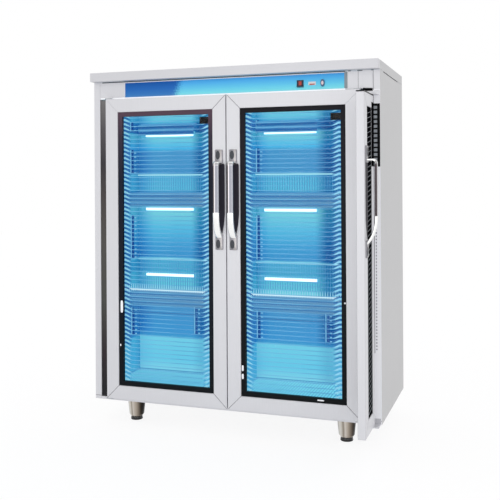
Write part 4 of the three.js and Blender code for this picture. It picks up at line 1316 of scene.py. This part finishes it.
def addLouvres():
    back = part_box("rear_panel")[1].y
    half, columns = backDetails["ventWidth"] / 2, backDetails["ventColumns"]
    bm = bmesh.new()
    for row in range(backDetails["ventRows"]):
        for column in range(columns):
            x = middleX + (column - columns // 2) * backDetails["ventStep"] * mm
            z = (backDetails["ventLow"] + row * backDetails["ventRise"]) * mm
            addLoft(bm, [
                [Vector((x + side * half * (1 if out < 0.9 else backDetails["ventEnd"]) * mm, back + out * mm,
                         z + share * backDetails["ventHeight"] * mm)) for out, share in backDetails["vent"]]
                for side in (-1, 1)
            ])
    addPiece("rear_panel_louvres", bm, "sideSheet")


addRearScrews()
addLouvres()
print("rear details made")

# Finishes of the carried-over CAD nodes, and the rounding of their edges as (width, steps)
nodeFinishes = {
    "frontSheet": ("fascia_panel", "base_tray", "side_top_pivot", "side_bottom_pivot"),
    "sideSheet": ("left_side_casing", "right_side_casing", "rear_panel"),
    "topSheet": ("worktop",),
    "revealGloss": ("front_frame",),
    "film": ("control_film",),
    "backWall": ("liner_back",),
    "sideWall": ("liner_left",),
    "farWall": ("liner_right",),
    "partitionWall": ("centre_partition",),
    "chamberFloor": ("liner_floor", "liner_top"),
    "paint": ("ballast_box",),
    "blackAbs": ("cable_gland", "side_door_cap"),
    "leftBorder": ("left_door_seal",),
    "rightBorder": ("right_door_seal", "side_door_seal"),
    "glass": ("left_door_glass", "right_door_glass"),
    "smokedGlass": ("side_door_glass",),
    "brownAbs": ("left_door_sensor", "right_door_sensor"),
    "bracketSteel": ("left_top_pivot", "left_bottom_pivot", "right_top_pivot", "right_bottom_pivot"),
    "rockerAbs": ("power_rocker",),
    "whiteLens": ("indicator_lens",),
    "ovalRim": ("lamp_button",),
}
nodeEdges = {
    "worktop": (1.6, 3), "right_side_casing": (0.8, 2), "left_side_casing": (0.8, 2),
    "fascia_panel": (0.5, 2),
}
for look, names in nodeFinishes.items():
    for name in names:
        slots = nodes[name].data.materials
        slots.clear()
        slots.append(finish[look])
for name, values in nodeEdges.items():
    softenEdges(nodes[name], *values)
print("nodes refinished")

# Floor, backdrop and light: each softbox has its place, its target, its size and its power
studio = {
    "floor": "#f2f2f4", "floorReach": 9.0, "white": 0.82, "whiteStrength": 1.06, "world": 0.8,
    "softboxes": {
        "left_light": ((-1.2, -4.8, 0.9), (0, 0, 0.7), (2.4, 2.4), 10.5),
        "right_light": ((2.4, -4.0, 0.75), (0.3, 0, 0.7), (2.0, 2.4), 8.5),
        "near_light": ((-0.15, -2.0, 0.9), (2.4, -0.2, 0.75), (0.5, 1.8), 2.0),
        "top_light": ((0.2, -0.4, 4.2), (0, 0, 0.7), (3.0, 2.0), 3.4),
    },
}


def seenDirectly(tree):
    # one for rays from the eye, from a mirror or through glass, and nothing for light's own paths
    path = addNode(tree, "ShaderNodeLightPath")
    seen = path.outputs["Is Camera Ray"]
    for kind in ("Is Glossy Ray", "Is Transmission Ray"):
        seen = addNode(tree, "ShaderNodeMath", {0: seen, 1: path.outputs[kind]}, operation="MAXIMUM")
    return seen


# Pale vinyl sweep: white to the eye and to mirrors, and it keeps the soft contact shadow
def vinylSweep(name):
    material, tree, shader = newMaterial(name)
    setInputs(tree, shader, {"Base Color": linear(studio["floor"]), "Roughness": 0.8})
    amount = addNode(tree, "ShaderNodeMath", {
        0: seenDirectly(tree), 1: studio["white"],
    }, operation="MULTIPLY")
    white = addNode(tree, "ShaderNodeEmission", {"Color": (1, 1, 1, 1), "Strength": studio["whiteStrength"]})
    mix = addNode(tree, "ShaderNodeMixShader", {"Fac": amount, 1: shader, 2: white})
    setInputs(tree, tree.nodes["Material Output"], {"Surface": mix})
    return material


def addFloor():
    bm = bmesh.new()
    reach = studio["floorReach"]
    corners = ((-reach, -reach, 0), (reach, -reach, 0), (reach, reach, 0), (-reach, reach, 0))
    bm.faces.new([bm.verts.new(corner) for corner in corners])
    mesh = bpy.data.meshes.new("floor")
    bm.to_mesh(mesh)
    bm.free()
    mesh.materials.append(vinylSweep("pale_floor"))
    floor = bpy.data.objects.new("floor", mesh)
    bpy.context.scene.collection.objects.link(floor)


def addWorld():
    # a white backdrop that lights the scene a little less brightly than it looks
    world = bpy.data.worlds.new("studio")
    bpy.context.scene.world = world
    world.use_nodes = True
    tree = world.node_tree
    backing = tree.nodes["Background"]
    setInputs(tree, backing, {"Color": (1, 1, 1, 1), "Strength": studio["world"]})
    white = addNode(tree, "ShaderNodeBackground", {"Color": (1, 1, 1, 1), "Strength": 1.0})
    mix = addNode(tree, "ShaderNodeMixShader", {"Fac": seenDirectly(tree), 1: backing, 2: white})
    setInputs(tree, tree.nodes["World Output"], {"Surface": mix})


def addSoftbox(name, place, target, size, power):
    data = bpy.data.lights.new(name, "AREA")
    data.shape, data.size, data.size_y, data.energy = "RECTANGLE", *size, power
    light = bpy.data.objects.new(name, data)
    light.location = place
    light.rotation_euler = (Vector(target) - Vector(place)).to_track_quat("-Z", "Y").to_euler()
    bpy.context.scene.collection.objects.link(light)


addFloor()
addWorld()
for name, values in studio["softboxes"].items():
    addSoftbox(name, *values)
bpy.context.scene.view_settings.view_transform = "Standard"
print("stage and lights made")
